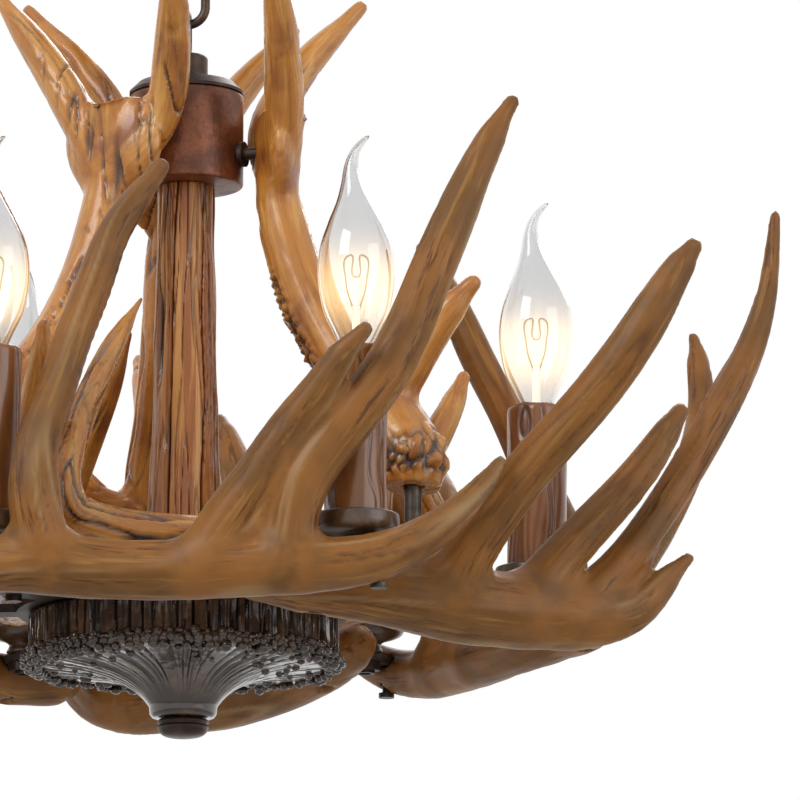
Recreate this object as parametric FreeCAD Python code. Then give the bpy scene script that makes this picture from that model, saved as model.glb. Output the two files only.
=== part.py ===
import FreeCAD, Part
import math
import os

# Six-light antler chandelier.  Millimetres, +Z up.
# The origin is the middle of the ceiling strap's top face, so everything hangs below zero.
# Everything below the chain is drawn in the "foot frame", whose zero is the level where
# the bark column stands out of the antlers, and is then let down by foot_z.

os.makedirs("parts", exist_ok=True)

Vec = FreeCAD.Vector
up = Vec(0, 0, 1)
origin = Vec(0, 0, 0)

# ---------------------------------------------------------------- clearances
seat = 0.3                    # gap left where one piece seats on or in another
thread_gap = 0.15             # radial gap where a plain wall stands for a thread

# ---------------------------------------------------------------- ceiling fittings
strap_length = 112.0
strap_width = 20.0
strap_thick = 2.5
bolt_spacing = 88.9           # screw spacing of a ceiling box
bolt_hole_r = 2.6
canopy_r = 60.0
canopy_depth = 33.0
canopy_wall = 1.2
canopy_crown_r = 22.0
canopy_steps = 7              # points round the canopy's curve
collar_nut_r = 11.0
collar_nut_height = 7.0
loop_stem_r = 5.0
loop_bore_r = 2.8
loop_set_back = 0.4           # the loop's stem ends this far below the ceiling

# ---------------------------------------------------------------- chain
wire_r = 2.2                  # wire of the loops and of the chain links
loop_ring_r = 10.5            # middle of the wire of a loop's ring
link_count = 4
link_inner_length = 30.0
link_inner_width = 13.0
link_play = 0.3               # gap where two links bear on each other
ring_sink = 3.3               # depth that a loop's wire is sunk into its stem or collar

# ---------------------------------------------------------------- hub and stem
stem_r = 6.5
stem_bore_r = 4.5
column_rise = 158.0           # foot level to the underside of the hub
column_top_r = 12.8
column_foot_r = 18.2
column_flare = 1.6            # how fast the foot's swelling dies away upwards
column_levels = 6
column_ribs = 11
rib_depth = 0.055             # height of the bark's ribs, as a share of the radius
rib_twist = 0.2               # turn of the ribs from one level to the next, radians
bark_lobe = 0.03              # the column is this much out of round
hub_r = 27.0
hub_height = 44.0
hub_wall = 2.0
hub_floor = 3.0
cap_dome = 7.0
cap_lip = 4.0
cap_rim = 1.5
cap_wall = 3.0
loop_collar_r = 10.0
loop_collar_height = 12.0
collar_round = 2.0
stem_in_collar = 7.2
stem_in_finial = 6.3

# ---------------------------------------------------------------- bosses that steady the uprights at the hub
boss_pin_r = 3.0
boss_pin_reach = 48.0         # end of the boss's rod, from the axis
boss_r = 6.0
boss_height = 172.0
boss_azimuth = -19.5
boss_gap = 0.6                # left between the boss and the round antler it bears on

# ---------------------------------------------------------------- steel spider that carries the antlers
spider_top = -42.0
spider_thick = 4.0
spider_disc_r = 78.0
arm_width = 14.0
arm_reach = 192.0
arm_turn = -0.5               # azimuth of the first arm, degrees
tab_width = 18.0
tab_azimuth = -21.9
tab_reach = 122.0
pin_reach = 115.3             # distance of an upright antler's pin from the axis
pin_r = 4.0
pin_tail = 3.0                # length of the pin below the underside of its head
pin_rise = 65.0               # length of the pin above the underside of the spider
pin_head_flats = 11.0
pin_head_height = 4.0

# ---------------------------------------------------------------- burr at the bottom
drum_r = 72.0
drum_height = 18.5
drum_wall = 5.0
drum_pleats = 72
pleat_depth = 1.3
bead_ring_r = 72.5
bead_r = 3.1
bead_count = 60
bead_drop = 0.8               # the beads hang this far below the plate's edge
burr_lip_r = 72.0
burr_lip_height = 5.5
burr_neck_r = 16.0
burr_neck_drop = 30.0
burr_flare_drop = 19.0        # drop of the flare from the lip to the straight neck
burr_flare_steps = 7
neck_round = 2.5
finial_r = 12.0
finial_height = 9.0
finial_round = 3.0

# ---------------------------------------------------------------- lamps
lamp_count = 6
lamp_ring_r = 165.0
nipple_r = 5.0
nipple_bore_r = 3.6
nipple_grip = 10.0            # thread inside the lamp holder
nipple_tail = 1.5             # thread left below the nut
nut_flats = 14.0
nut_height = 4.0
cup_r = 19.5
cup_foot_r = 9.0
cup_foot_height = 8.0
cup_rise = 9.5
cup_wall = 1.6
cup_waist = 1.5               # the foot's hollow, and the swell above it
socket_r = 11.5
socket_height = 81.0
socket_floor = 6.0            # solid floor under the bulb's contact
socket_wire_r = 3.0           # way for the wires up from the nipple
sleeve_r = 14.0
sleeve_height = 86.0
sleeve_wall = 2.0
sleeve_lip = 3.0
sleeve_lip_gap = 1.6          # left round the bulb's cap by the sleeve's turned-in top
bulb_sink = 4.5               # the glass starts this far below the sleeve's top
bulb_cap_r = 6.9
bulb_cap_length = 21.0
thread_pitch = 2.82
thread_turns = 5
thread_depth = 0.55
thread_start = 3.4            # height of the first thread above the cap's end
contact_r = 2.4
contact_height = 1.4
mount_r = 5.2                 # glass mount that carries the filament
mount_neck_r = 1.8
mount_height = 23.0
filament_r = 0.35
glass_wall = 0.9
glass_neck_r = 7.4
glass_belly_r = 17.5
glass_belly_rise = 37.0
glass_length = 102.0
tail_turns = [0, 140, 250, 75, 0, 10]     # where each bulb's bent tip points, degrees
# The glass's middle and radius up the bulb: heights to the belly are shares of its rise,
# those of the drawn-out tip shares of the whole length, radii shares of the belly's.
glass_body = [(0.0, 0.11, 0.42), (0.0, 0.30, 0.60), (0.0, 0.58, 0.86), (0.0, 1.0, 1.0),
              (0.0, 1.36, 0.94), (-0.3, 1.66, 0.72), (-0.9, 1.92, 0.47), (-1.9, 2.14, 0.29)]
glass_tip = [(-2.6, 0.855, 0.18), (-1.8, 0.91, 0.125), (0.8, 0.955, 0.10),
             (4.2, 0.985, 0.085)]
# The filament's zigzag over the foot of its mount: x, y and height
filament_path = [(-1.2, 0, 21), (-4.6, 0, 34), (-3.0, 2.2, 47), (0, -2.2, 36),
                 (3.0, 2.2, 47), (4.6, 0, 34), (1.2, 0, 21)]

# ---------------------------------------------------------------- screws that hold the antlers
screw_r = 2.0
screw_head_r = 3.8
screw_head_height = 2.4
screw_length = 18.0           # screws up through an antler into the spider
screw_bury = 12.5             # antler left between such a screw's head and the spider
inner_screw_length = 16.0     # screws up through the spider into an inner antler

# ---------------------------------------------------------------- levels that follow from the sizes above
spider_bottom = spider_top - spider_thick
strap_bottom = -strap_thick
canopy_bottom = -canopy_depth
nut_bottom = canopy_bottom - seat - collar_nut_height
loop_center = nut_bottom - seat - wire_r - loop_ring_r
first_pivot = loop_center - loop_ring_r
link_step = link_inner_length - link_play
last_pivot = first_pivot - link_count * link_step
hub_ring_top = last_pivot + 2 * wire_r + link_play
hub_ring_center = hub_ring_top - loop_ring_r
collar_top = hub_ring_center - loop_ring_r - wire_r + ring_sink
collar_bottom = collar_top - loop_collar_height
hub_top = column_rise + seat + hub_height        # foot frame
cap_top = hub_top + seat + cap_dome
foot_z = collar_bottom - seat - cap_top          # the foot frame's level below the ceiling
stem_top = cap_top + seat + stem_in_collar
column_foot = spider_top + seat
drum_top = spider_bottom - seat
drum_bottom = drum_top - drum_height
lip_top = drum_bottom - seat
neck_bottom = lip_top - burr_neck_drop
finial_top = neck_bottom - seat
stem_bottom = finial_top - stem_in_finial
cup_bottom = spider_top + seat
cup_floor = cup_bottom + cup_foot_height
cup_rim = cup_floor + cup_rise
socket_bottom = cup_floor + seat
sleeve_bottom = cup_floor + seat
sleeve_top = sleeve_bottom + sleeve_height
cap_shell_bottom = sleeve_top - bulb_sink - bulb_cap_length
glass_bottom = cap_shell_bottom + bulb_cap_length
pocket_floor = cap_shell_bottom - contact_height - 2 * seat
third_turn = 120.0


# ---------------------------------------------------------------- shape helpers
def lathe(profile):
    """Solid of revolution about Z from a closed (radius, height) outline."""
    points = [Vec(r, 0, z) for r, z in profile]
    face = Part.Face(Part.makePolygon(points + [points[0]]))
    return face.revolve(origin, up, 360)


def disc(radius, bottom, top, x=0.0, y=0.0):
    return Part.makeCylinder(radius, top - bottom, Vec(x, y, bottom))


def ring(outer, inner, bottom, top, x=0.0, y=0.0):
    hole = disc(inner, bottom - 1, top + 1, x, y)
    return disc(outer, bottom, top, x, y).cut(hole)


def turned(shape, degrees):
    copy = shape.copy()
    copy.rotate(origin, up, degrees)
    return copy


def moved(shape, x=0.0, y=0.0, z=0.0):
    copy = shape.copy()
    copy.translate(Vec(x, y, z))
    return copy


def polar(radius, degrees):
    angle = math.radians(degrees)
    return radius * math.cos(angle), radius * math.sin(angle)


def joined(shapes):
    whole = shapes[0]
    for shape in shapes[1:]:
        whole = whole.fuse(shape)
    return whole.removeSplitter()


def hexagon(flats, bottom, top):
    corner = flats / math.sqrt(3)
    points = [Vec(*polar(corner, 60 * k), bottom) for k in range(6)]
    face = Part.Face(Part.makePolygon(points + [points[0]]))
    return face.extrude(Vec(0, 0, top - bottom))


def section(center, tangent, side, radius):
    """One round section across a branch, its seam towards side."""
    turn = FreeCAD.Rotation(side, tangent.cross(side), tangent, "ZXY")
    edge = Part.makeCircle(radius)
    edge.Placement = FreeCAD.Placement(center, turn)
    return Part.Wire([edge])


def swell(radii, k, share):
    """Radius between stations k and k + 1, on a smooth curve through all the radii."""
    low = radii[max(k - 1, 0)]
    a, b = radii[k], radii[k + 1]
    high = radii[min(k + 2, len(radii) - 1)]
    leave = (b - low) / 2 if (b - a) * (a - low) > 0 else 0.0
    arrive = (high - a) / 2 if (high - b) * (b - a) > 0 else 0.0
    s2, s3 = share ** 2, share ** 3
    return (a * (2 * s3 - 3 * s2 + 1) + b * (3 * s2 - 2 * s3) +
            leave * (s3 - 2 * s2 + share) + arrive * (s3 - s2))


def branch(stations, steps=3, round_start=False, round_end=True):
    """A tapering branch through (x, y, z, radius) stations, its ends rounded or sawn flat."""
    points = [Vec(*s[:3]) for s in stations]
    radii = [s[3] for s in stations]
    curve = Part.BSplineCurve()
    curve.interpolate(Points=points)
    knots = [curve.parameter(p) for p in points]
    knots[0] = curve.FirstParameter
    knots[-1] = curve.LastParameter
    places = []
    for k in range(len(points) - 1):
        for j in range(steps):
            share = j / steps
            t = knots[k] + (knots[k + 1] - knots[k]) * share
            places.append((t, swell(radii, k, share)))
    places.append((knots[-1], radii[-1]))
    rounding = [(math.sin(a), math.cos(a)) for a in (0.6, 1.05, 1.4)]
    sections = []
    side = None
    for t, radius in places:
        center = curve.value(t)
        tangent = Vec(*curve.tangent(t)[0]).normalize()
        if side is None:
            side = tangent.cross(up if abs(tangent.z) < 0.9 else Vec(1, 0, 0))
        side = (side - tangent * side.dot(tangent)).normalize()
        sections.append((center, tangent, side, radius))
    if round_start:
        center, tangent, side, radius = sections[0]
        for rise, share in rounding:
            spot = center - tangent * radius * rise
            sections.insert(0, (spot, tangent, side, radius * share))
    if round_end:
        center, tangent, side, radius = sections[-1]
        for rise, share in rounding:
            spot = center + tangent * radius * rise
            sections.append((spot, tangent, side, radius * share))
    return Part.makeLoft([section(*s) for s in sections], True, True)


def wire_ring(center_z, plane_turn):
    """A closed loop of wire standing upright in the XZ plane, turned about Z."""
    loop = Part.makeTorus(loop_ring_r, wire_r, Vec(0, 0, center_z), Vec(0, 1, 0))
    return turned(loop, plane_turn)


def chain_link(top_wire_z, plane_turn):
    """A stadium-shaped link whose top bend's wire has its middle at top_wire_z."""
    bend_r = link_inner_width / 2 + wire_r
    straight = link_inner_length + 2 * wire_r - 2 * bend_r
    top_mid = top_wire_z - bend_r
    low_mid = top_mid - straight
    path = Part.Wire([
        Part.LineSegment(Vec(bend_r, 0, low_mid), Vec(bend_r, 0, top_mid)).toShape(),
        Part.Arc(Vec(bend_r, 0, top_mid), Vec(0, 0, top_mid + bend_r),
                 Vec(-bend_r, 0, top_mid)).toShape(),
        Part.LineSegment(Vec(-bend_r, 0, top_mid), Vec(-bend_r, 0, low_mid)).toShape(),
        Part.Arc(Vec(-bend_r, 0, low_mid), Vec(0, 0, low_mid - bend_r),
                 Vec(bend_r, 0, low_mid)).toShape(),
    ])
    end = Part.Wire([Part.makeCircle(wire_r, Vec(bend_r, 0, low_mid), up)])
    return turned(path.makePipeShell([end], True, False), plane_turn)


def save(name, shape):
    shape.exportStep("parts/" + name + ".step")


def hang(name, shape):
    """Save a piece drawn in the foot frame at its place below the ceiling."""
    save(name, moved(shape, z=foot_z))


# ---------------------------------------------------------------- ceiling fittings and chain
def bowl(radius, crown_r, depth):
    """Half the section of the canopy, from its flat crown round to its edge at the ceiling."""
    points = []
    for k in range(canopy_steps + 1):
        angle = math.pi / 2 * k / canopy_steps
        z = -seat - (depth - seat) * math.cos(angle)
        points.append((crown_r + (radius - crown_r) * math.sin(angle), z))
    return points


def ceiling_fittings():
    strap = Part.makeBox(strap_length, strap_width, strap_thick,
                         Vec(-strap_length / 2, -strap_width / 2, strap_bottom))
    for side in (-1, 1):
        strap = strap.cut(disc(bolt_hole_r, strap_bottom - 1, 1, x=side * bolt_spacing / 2))
    strap = strap.cut(disc(loop_stem_r + thread_gap, strap_bottom - 1, 1))
    save("ceiling_strap", strap)

    hole_r = loop_stem_r + seat
    outer = bowl(canopy_r, canopy_crown_r, canopy_depth)
    inner = bowl(canopy_r - canopy_wall, canopy_crown_r, canopy_depth - canopy_wall)
    save("ceiling_canopy", lathe([(hole_r, canopy_bottom)] + outer + inner[::-1] +
                                 [(hole_r, canopy_bottom + canopy_wall)]))

    nut = ring(collar_nut_r, loop_stem_r + thread_gap, nut_bottom, canopy_bottom - seat)
    save("canopy_nut", nut)

    ring_top = loop_center + loop_ring_r + wire_r
    stem = disc(loop_stem_r, ring_top - ring_sink, -loop_set_back)
    stem = stem.cut(disc(loop_bore_r, ring_top + wire_r, 1))
    save("canopy_loop", joined([stem, wire_ring(loop_center, 0)]))

    for k in range(link_count):
        pivot = first_pivot - k * link_step
        link = chain_link(pivot + 2 * wire_r + link_play, 90 if k % 2 == 0 else 0)
        save("chain_link_%d" % (k + 1), link)

    collar = disc(loop_collar_r, collar_bottom, collar_top)
    collar = collar.cut(disc(stem_r + thread_gap, collar_bottom - 1, foot_z + stem_top + seat))
    collar_edges = [e for e in collar.Edges if abs(e.BoundBox.ZMin - collar_top) < 0.01]
    collar = collar.makeFillet(collar_round, collar_edges)
    plane = 90 if link_count % 2 == 0 else 0
    save("hub_loop", joined([collar, wire_ring(hub_ring_center, plane)]))


# ---------------------------------------------------------------- hub, column and stem
def hub_and_column():
    bottom = column_rise + seat
    drum = ring(hub_r, hub_r - hub_wall, bottom, hub_top)
    floor = ring(hub_r - hub_wall / 2, stem_r + seat, bottom, bottom + hub_floor)
    drum = joined([drum, floor])
    for k in range(3):
        hole = boss_rod(hub_r - 2 * hub_wall, boss_pin_r + seat, hub_r + hub_wall)
        drum = drum.cut(turned(hole, boss_azimuth + third_turn * k))
    hang("hub_drum", drum)

    lip_r = hub_r - hub_wall - seat
    cap = lathe([(stem_r + seat, hub_top - cap_lip), (lip_r, hub_top - cap_lip),
                 (lip_r, hub_top + seat), (hub_r, hub_top + seat),
                 (hub_r, hub_top + seat + cap_rim), (hub_r - cap_lip, cap_top - cap_rim),
                 (loop_collar_r + cap_rim, cap_top), (stem_r + seat, cap_top)])
    hollow = ring(lip_r - cap_wall, stem_r + cap_wall, hub_top - cap_lip - 1, hub_top)
    hang("hub_cap", cap.cut(hollow))

    pipe = ring(stem_r, stem_bore_r, stem_bottom, stem_top)
    hang("stem_pipe", pipe)

    loops = []
    for row in range(column_levels + 1):
        share = row / column_levels
        z = column_foot + (column_rise - column_foot) * share
        radius = column_top_r + (column_foot_r - column_top_r) * (1 - share) ** column_flare
        points = []
        count = column_ribs * 4
        for k in range(count):
            angle = 2 * math.pi * k / count
            wave = rib_depth * math.cos(column_ribs * angle + row * rib_twist)
            wave += bark_lobe * math.cos(3 * angle + row * rib_twist)
            points.append(Vec(*polar(radius * (1 + wave), math.degrees(angle)), z))
        loops.append(Part.makePolygon(points + [points[0]]))
    bark = Part.makeLoft(loops, True, True)
    bark = bark.cut(disc(stem_r + seat, column_foot - 1, column_rise + 1))
    hang("bark_column", bark)


# ---------------------------------------------------------------- steel spider
def spider_blank(grow=0.0):
    """Disc, six arms and three tabs, made larger by grow all over."""
    low = spider_bottom - grow
    top = spider_top + grow
    half = arm_width / 2 + grow
    pieces = [disc(spider_disc_r + grow, low, top)]
    for k in range(lamp_count):
        reach = arm_reach - arm_width / 2
        arm = Part.makeBox(reach, 2 * half, top - low, Vec(0, -half, low))
        end = disc(half, low, top, x=reach)
        pieces.append(turned(arm.fuse(end), arm_turn + 60 * k))
    half = tab_width / 2 + grow
    for k in range(3):
        reach = tab_reach - tab_width / 2
        tab = Part.makeBox(reach, 2 * half, top - low, Vec(0, -half, low))
        end = disc(half, low, top, x=reach)
        pieces.append(turned(tab.fuse(end), tab_azimuth + third_turn * k))
    return joined(pieces)


def screw(x, y, head_z, length, grow=0.0):
    """A pan-head screw pointing up; grow makes the hole that clears it."""
    shank = disc(screw_r + grow, head_z, head_z + length + grow, x, y)
    head = disc(screw_head_r + grow, head_z - screw_head_height - grow, head_z, x, y)
    return shank.fuse(head)


def boss_rod(start, radius, end):
    """A round rod lying along X at the bosses' height."""
    return Part.makeCylinder(radius, end - start, Vec(start, 0, boss_height), Vec(1, 0, 0))


# ---------------------------------------------------------------- antlers, foot frame
# Each branch is a run of (x, y, z, radius) stations along its middle.
# The low antler lies across the front, its beam's end up and to the right.
low_beam = [(-118, -148, -47, 15), (-107, -156, -50, 13), (-93, -163, -51, 12.5),
            (-64, -165, -50, 13.5), (-47, -163, -51, 14), (-20, -163, -53, 13),
            (8, -165, -53, 13), (34, -168, -52, 13), (57, -170, -52, 12.5),
            (76, -169, -51, 11.5), (93, -166, -47, 10.5), (109, -161, -39, 9),
            (126, -154, -26, 7), (140, -147, -10, 4.5), (146, -144, -1, 2.8)]
low_tine_left = [(-55, -165, -48, 12), (-62, -169, -20, 12), (-61, -166, 4, 10),
                 (-54, -157, 28, 8.8), (-46, -147, 57, 8.3), (-38, -138, 81, 8.3),
                 (-28, -129, 110, 7.8), (-18, -126, 126, 6.5), (-8, -125, 140, 3.8)]
low_tine_short = [(10, -165, -52, 12), (26, -169, -29, 12), (40, -173, -9, 10.5),
                  (52, -177, 10, 8.8), (65, -181, 26, 8), (75, -185, 40, 6.5),
                  (85, -189, 51, 3.6)]
low_tine_long = [(53, -170, -53, 12), (53, -172, -36, 11), (59, -173, -14, 11.5),
                 (79, -172, 14, 11.3), (99, -168, 44, 11.2), (114, -158, 82, 10.3),
                 (128, -148, 118, 9), (142, -140, 150, 6.5), (152, -136, 168, 3.5)]

# The spread antler starts behind the low one and opens out to the right.
spread_beam = [(36, -112, -47, 11), (56, -112, -50, 13.5), (83, -112, -53, 14.5),
               (110, -106, -56, 16), (137, -94, -58, 17), (165, -78, -59, 16),
               (188, -67, -60, 12.5), (207, -60, -55, 9.5), (222, -54, -41, 6.5),
               (234, -50, -28, 3)]
spread_tine_tall = [(122, -104, -52, 13), (137, -114, -29, 11), (156, -126, -4, 10.5),
                    (177, -136, 19, 10.5), (199, -144, 45, 10.3), (216, -146, 71, 9.3),
                    (228, -146, 91, 6.5), (233, -146, 98, 4)]
spread_tine_near = [(156, -84, -59, 13), (172, -80, -36, 10.5), (193, -76, -12, 9),
                    (211, -72, 9, 8), (224, -68, 29, 6), (230, -66, 38, 3.5)]
spread_tine_far = [(177, -72, -58, 12), (199, -64, -37, 9.3), (218, -56, -11, 8.5),
                   (236, -46, 19, 8.5), (252, -38, 49, 8.3), (265, -31, 76, 7),
                   (273, -25, 104, 5), (276, -21, 128, 3.6), (277, -20, 140, 3)]
spread_tine_back = [(190, -62, -56, 10), (213, -44, -26, 8), (229, -18, 5, 7.5),
                    (239, 2, 33, 7), (243, 15, 59, 6.3), (242, 24, 80, 5.3),
                    (240, 29, 92, 3)]

# The upright antler runs from the sawn burr by the lamps up past the hub.
upright_beam = [(107, -43, 6, 13.5), (105, -41, 20, 16.5), (97, -38, 37, 16.5),
                (79, -30, 62, 13.5), (60, -22, 95, 12.5), (47, -17, 132, 12),
                (42.5, -15.5, 163, 10.2), (44, -14, 184, 12), (47, -12, 198, 11)]
upright_brow = [(94, -38, 46, 12), (110, -42, 71, 9.5), (125, -46, 91, 7.5),
                (135, -48, 102, 4)]
upright_spur = [(97, -33, 27, 7), (111, -15, 26, 8), (120, -5, 41, 7.2), (127, 2, 57, 5.5),
                (131, 5, 68, 3)]
upright_fork_left = [(44, -14, 158, 10), (39.5, 1, 172, 9.5), (38, 11, 186, 9.5),
                     (46, 20, 208, 9), (62, 31, 232, 7), (82, 42, 256, 3.5)]
upright_fork_right = [(44, -15, 158, 10), (46, -24, 174, 9.5), (46.5, -32, 188, 9.5),
                      (46, -46, 210, 8.8), (44, -63, 232, 6.8), (40, -80, 252, 3.5)]

# The inner antler lies on the spider round the column's foot and turns up at its end.
inner_beam = [(88, -45, -29, 13.5), (72, -66, -30, 12), (48, -82, -30, 13),
              (14, -94, -29.5, 13.5), (-18, -104, -28, 13), (-38, -110, -23, 11.5),
              (-48, -112, -16, 9.5), (-50, -104, 7, 8.2), (-42, -84, 40, 7.5),
              (-29, -58, 75, 6), (-19, -42, 96, 3)]

# Screw places on the spider: distance from the axis and azimuth
low_screws = [(186.0, arm_turn - 60), (186.0, arm_turn - 120)]
spread_screws = [(128.0, arm_turn - 60)]
inner_screws = [(93.0, arm_turn - 60), (93.0, -25.5)]


def screwed_from_below(antler, places, screws):
    """Cut the antler for screws up into the spider, and add them to the list."""
    head_z = spider_bottom - screw_bury
    for reach, azimuth in places:
        x, y = polar(reach, azimuth)
        well = disc(screw_head_r + seat, head_z - 2 * screw_bury, head_z, x, y)
        antler = antler.cut(screw(x, y, head_z, screw_length, thread_gap)).cut(well)
        screws.append(screw(x, y, head_z, screw_length))
    return antler


def antlers():
    spider_room = spider_blank(seat)
    screws = []

    low = joined([branch(low_beam, round_start=True), branch(low_tine_left),
                  branch(low_tine_short), branch(low_tine_long)])
    low = screwed_from_below(low.cut(spider_room), low_screws, screws)

    spread = joined([branch(spread_beam, round_start=True), branch(spread_tine_tall),
                     branch(spread_tine_near), branch(spread_tine_far),
                     branch(spread_tine_back)])
    spread = screwed_from_below(spread.cut(spider_room), spread_screws, screws)

    inner = branch(inner_beam, round_start=True).cut(spider_room)
    inner = inner.cut(disc(arm_reach, neck_bottom, spider_top + seat))
    for reach, azimuth in inner_screws:
        x, y = polar(reach, azimuth)
        head_z = spider_bottom - seat
        inner = inner.cut(screw(x, y, head_z, inner_screw_length, thread_gap))
        screws.append(screw(x, y, head_z, inner_screw_length))

    upright = joined([branch(upright_beam), branch(upright_fork_left),
                      branch(upright_fork_right), branch(upright_brow), branch(upright_spur)])
    pin_x, pin_y = polar(pin_reach, tab_azimuth)
    pin_top = spider_bottom + pin_rise
    head_top = spider_bottom - seat
    head = moved(hexagon(pin_head_flats, head_top - pin_head_height, head_top), pin_x, pin_y)
    tail = head_top - pin_head_height - pin_tail
    pin = joined([disc(pin_r, tail, pin_top, pin_x, pin_y), head])
    upright = upright.cut(disc(pin_r + seat, tail, pin_top + seat, pin_x, pin_y))

    stub = turned(boss_rod(hub_r - hub_wall, boss_r, hub_r), boss_azimuth)
    near = hub_r + stub.distToShape(upright)[0]
    upright = upright.cut(turned(boss_rod(0, boss_pin_r + thread_gap, boss_pin_reach + seat),
                                 boss_azimuth))
    collar = boss_rod(hub_r + seat, boss_r, near - boss_gap)
    rod = boss_rod(hub_r - 2 * hub_wall, boss_pin_r, boss_pin_reach)
    boss = turned(joined([rod, collar]), boss_azimuth)

    for k in range(3):
        turn = third_turn * k
        hang("low_antler_%d" % (k + 1), turned(low, turn))
        hang("spread_antler_%d" % (k + 1), turned(spread, turn))
        hang("upright_antler_%d" % (k + 1), turned(upright, turn))
        hang("inner_antler_%d" % (k + 1), turned(inner, turn))
    hang("antler_screws", Part.makeCompound(
        [turned(s, third_turn * k) for k in range(3) for s in screws]))
    hang("upright_pins", Part.makeCompound([turned(pin, third_turn * k) for k in range(3)]))
    hang("hub_bosses", Part.makeCompound([turned(boss, third_turn * k) for k in range(3)]))


def spider():
    plate = spider_blank()
    plate = plate.cut(disc(stem_r + seat, spider_bottom - 1, spider_top + 1))
    for k in range(lamp_count):
        x, y = polar(lamp_ring_r, arm_turn + 60 * k)
        plate = plate.cut(disc(nipple_r + seat, spider_bottom - 1, spider_top + 1, x, y))
    for k in range(3):
        x, y = polar(pin_reach, tab_azimuth + third_turn * k)
        plate = plate.cut(disc(pin_r + seat, spider_bottom - 1, spider_top + 1, x, y))
        for reach, azimuth in low_screws + spread_screws + inner_screws:
            x, y = polar(reach, azimuth + third_turn * k)
            plate = plate.cut(disc(screw_r + seat, spider_bottom - 1, spider_top + 1, x, y))
    hang("spider_plate", plate)


# ---------------------------------------------------------------- burr at the bottom
def pleated(radius, count, depth, z):
    """A round face whose edge goes in and out count times."""
    points = []
    for k in range(count):
        points.append(Vec(*polar(radius, 360.0 * k / count), z))
        points.append(Vec(*polar(radius - depth, 360.0 * (k + 0.5) / count), z))
    return Part.Face(Part.makePolygon(points + [points[0]]))


def burr():
    face = pleated(drum_r, drum_pleats, pleat_depth, drum_bottom)
    drum = face.extrude(Vec(0, 0, drum_height))
    hollow_r = drum_r - pleat_depth - drum_wall
    drum = drum.cut(disc(hollow_r, drum_bottom - 1, drum_top - drum_wall))
    drum = drum.cut(disc(stem_r + seat, drum_bottom - 1, drum_top + 1))
    hang("burr_drum", drum)

    lip_bottom = lip_top - burr_lip_height
    flare = [(stem_r + seat, lip_top), (burr_lip_r, lip_top)]
    for k in range(burr_flare_steps + 1):
        radius = burr_lip_r * (burr_neck_r / burr_lip_r) ** (k / burr_flare_steps)
        drop = (burr_neck_r / radius - burr_neck_r / burr_lip_r) / (1 - burr_neck_r / burr_lip_r)
        flare.append((radius, lip_bottom - burr_flare_drop * drop))
    flare += [(burr_neck_r, neck_bottom + neck_round), (burr_neck_r - neck_round, neck_bottom),
              (stem_r + seat, neck_bottom)]
    rim = pleated(bead_ring_r + bead_r, bead_count, bead_r, lip_bottom - bead_drop)
    rim = rim.extrude(Vec(0, 0, burr_lip_height))
    rim = rim.cut(disc(burr_lip_r - bead_r, lip_bottom - bead_drop - 1, lip_top + 1))
    hang("burr_plate", joined([lathe(flare), rim]))

    low = finial_top - finial_height
    knob = lathe([(0, low), (finial_r - finial_round, low), (finial_r, low + finial_round),
                  (finial_r, finial_top), (0, finial_top)])
    knob = knob.cut(disc(stem_r + thread_gap, stem_bottom - seat, finial_top + 1))
    hang("finial_nut", knob)


# ---------------------------------------------------------------- lamps
def lamp_shapes():
    """The fixed pieces of one lamp, standing on the axis."""
    nut_top = spider_bottom - seat
    nipple_top = socket_bottom + nipple_grip
    nipple = ring(nipple_r, nipple_bore_r, nut_top - nut_height - nipple_tail, nipple_top)
    nut = hexagon(nut_flats, nut_top - nut_height, nut_top)
    nut = nut.cut(disc(nipple_r + thread_gap, nut_top - nut_height - 1, nut_top + 1))

    hole_r = nipple_r + seat
    brim = cup_r - cup_wall
    cup = lathe([(hole_r, cup_bottom), (cup_foot_r, cup_bottom),
                 (cup_foot_r - cup_waist, cup_bottom + cup_foot_height * 0.4),
                 (cup_foot_r + cup_waist, cup_floor - 1.5 * cup_wall),
                 (cup_r - cup_wall, cup_floor), (cup_r, cup_floor + cup_rise * 0.4),
                 (cup_r, cup_rim), (brim, cup_rim), (brim, cup_floor + cup_rise * 0.4),
                 (sleeve_r + 2 * seat, cup_floor), (hole_r, cup_floor)])

    holder = disc(socket_r, socket_bottom, socket_bottom + socket_height)
    holder = holder.cut(disc(bulb_cap_r + seat, pocket_floor, glass_bottom))
    holder = holder.cut(disc(nipple_r + thread_gap, socket_bottom - 1, nipple_top + seat))
    holder = holder.cut(disc(socket_wire_r, socket_bottom, pocket_floor - socket_floor))

    low = sleeve_bottom
    bore_r = sleeve_r - sleeve_wall
    lip_r = bulb_cap_r + sleeve_lip_gap
    sleeve = lathe([(bore_r, low), (sleeve_r, low), (sleeve_r, sleeve_top - sleeve_wall),
                    (sleeve_r - sleeve_wall / 3, sleeve_top - sleeve_wall / 3),
                    (bore_r, sleeve_top), (lip_r, sleeve_top), (lip_r, sleeve_top - sleeve_lip),
                    (bore_r, sleeve_top - sleeve_lip)])
    return nipple, nut, cup, holder, sleeve


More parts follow.
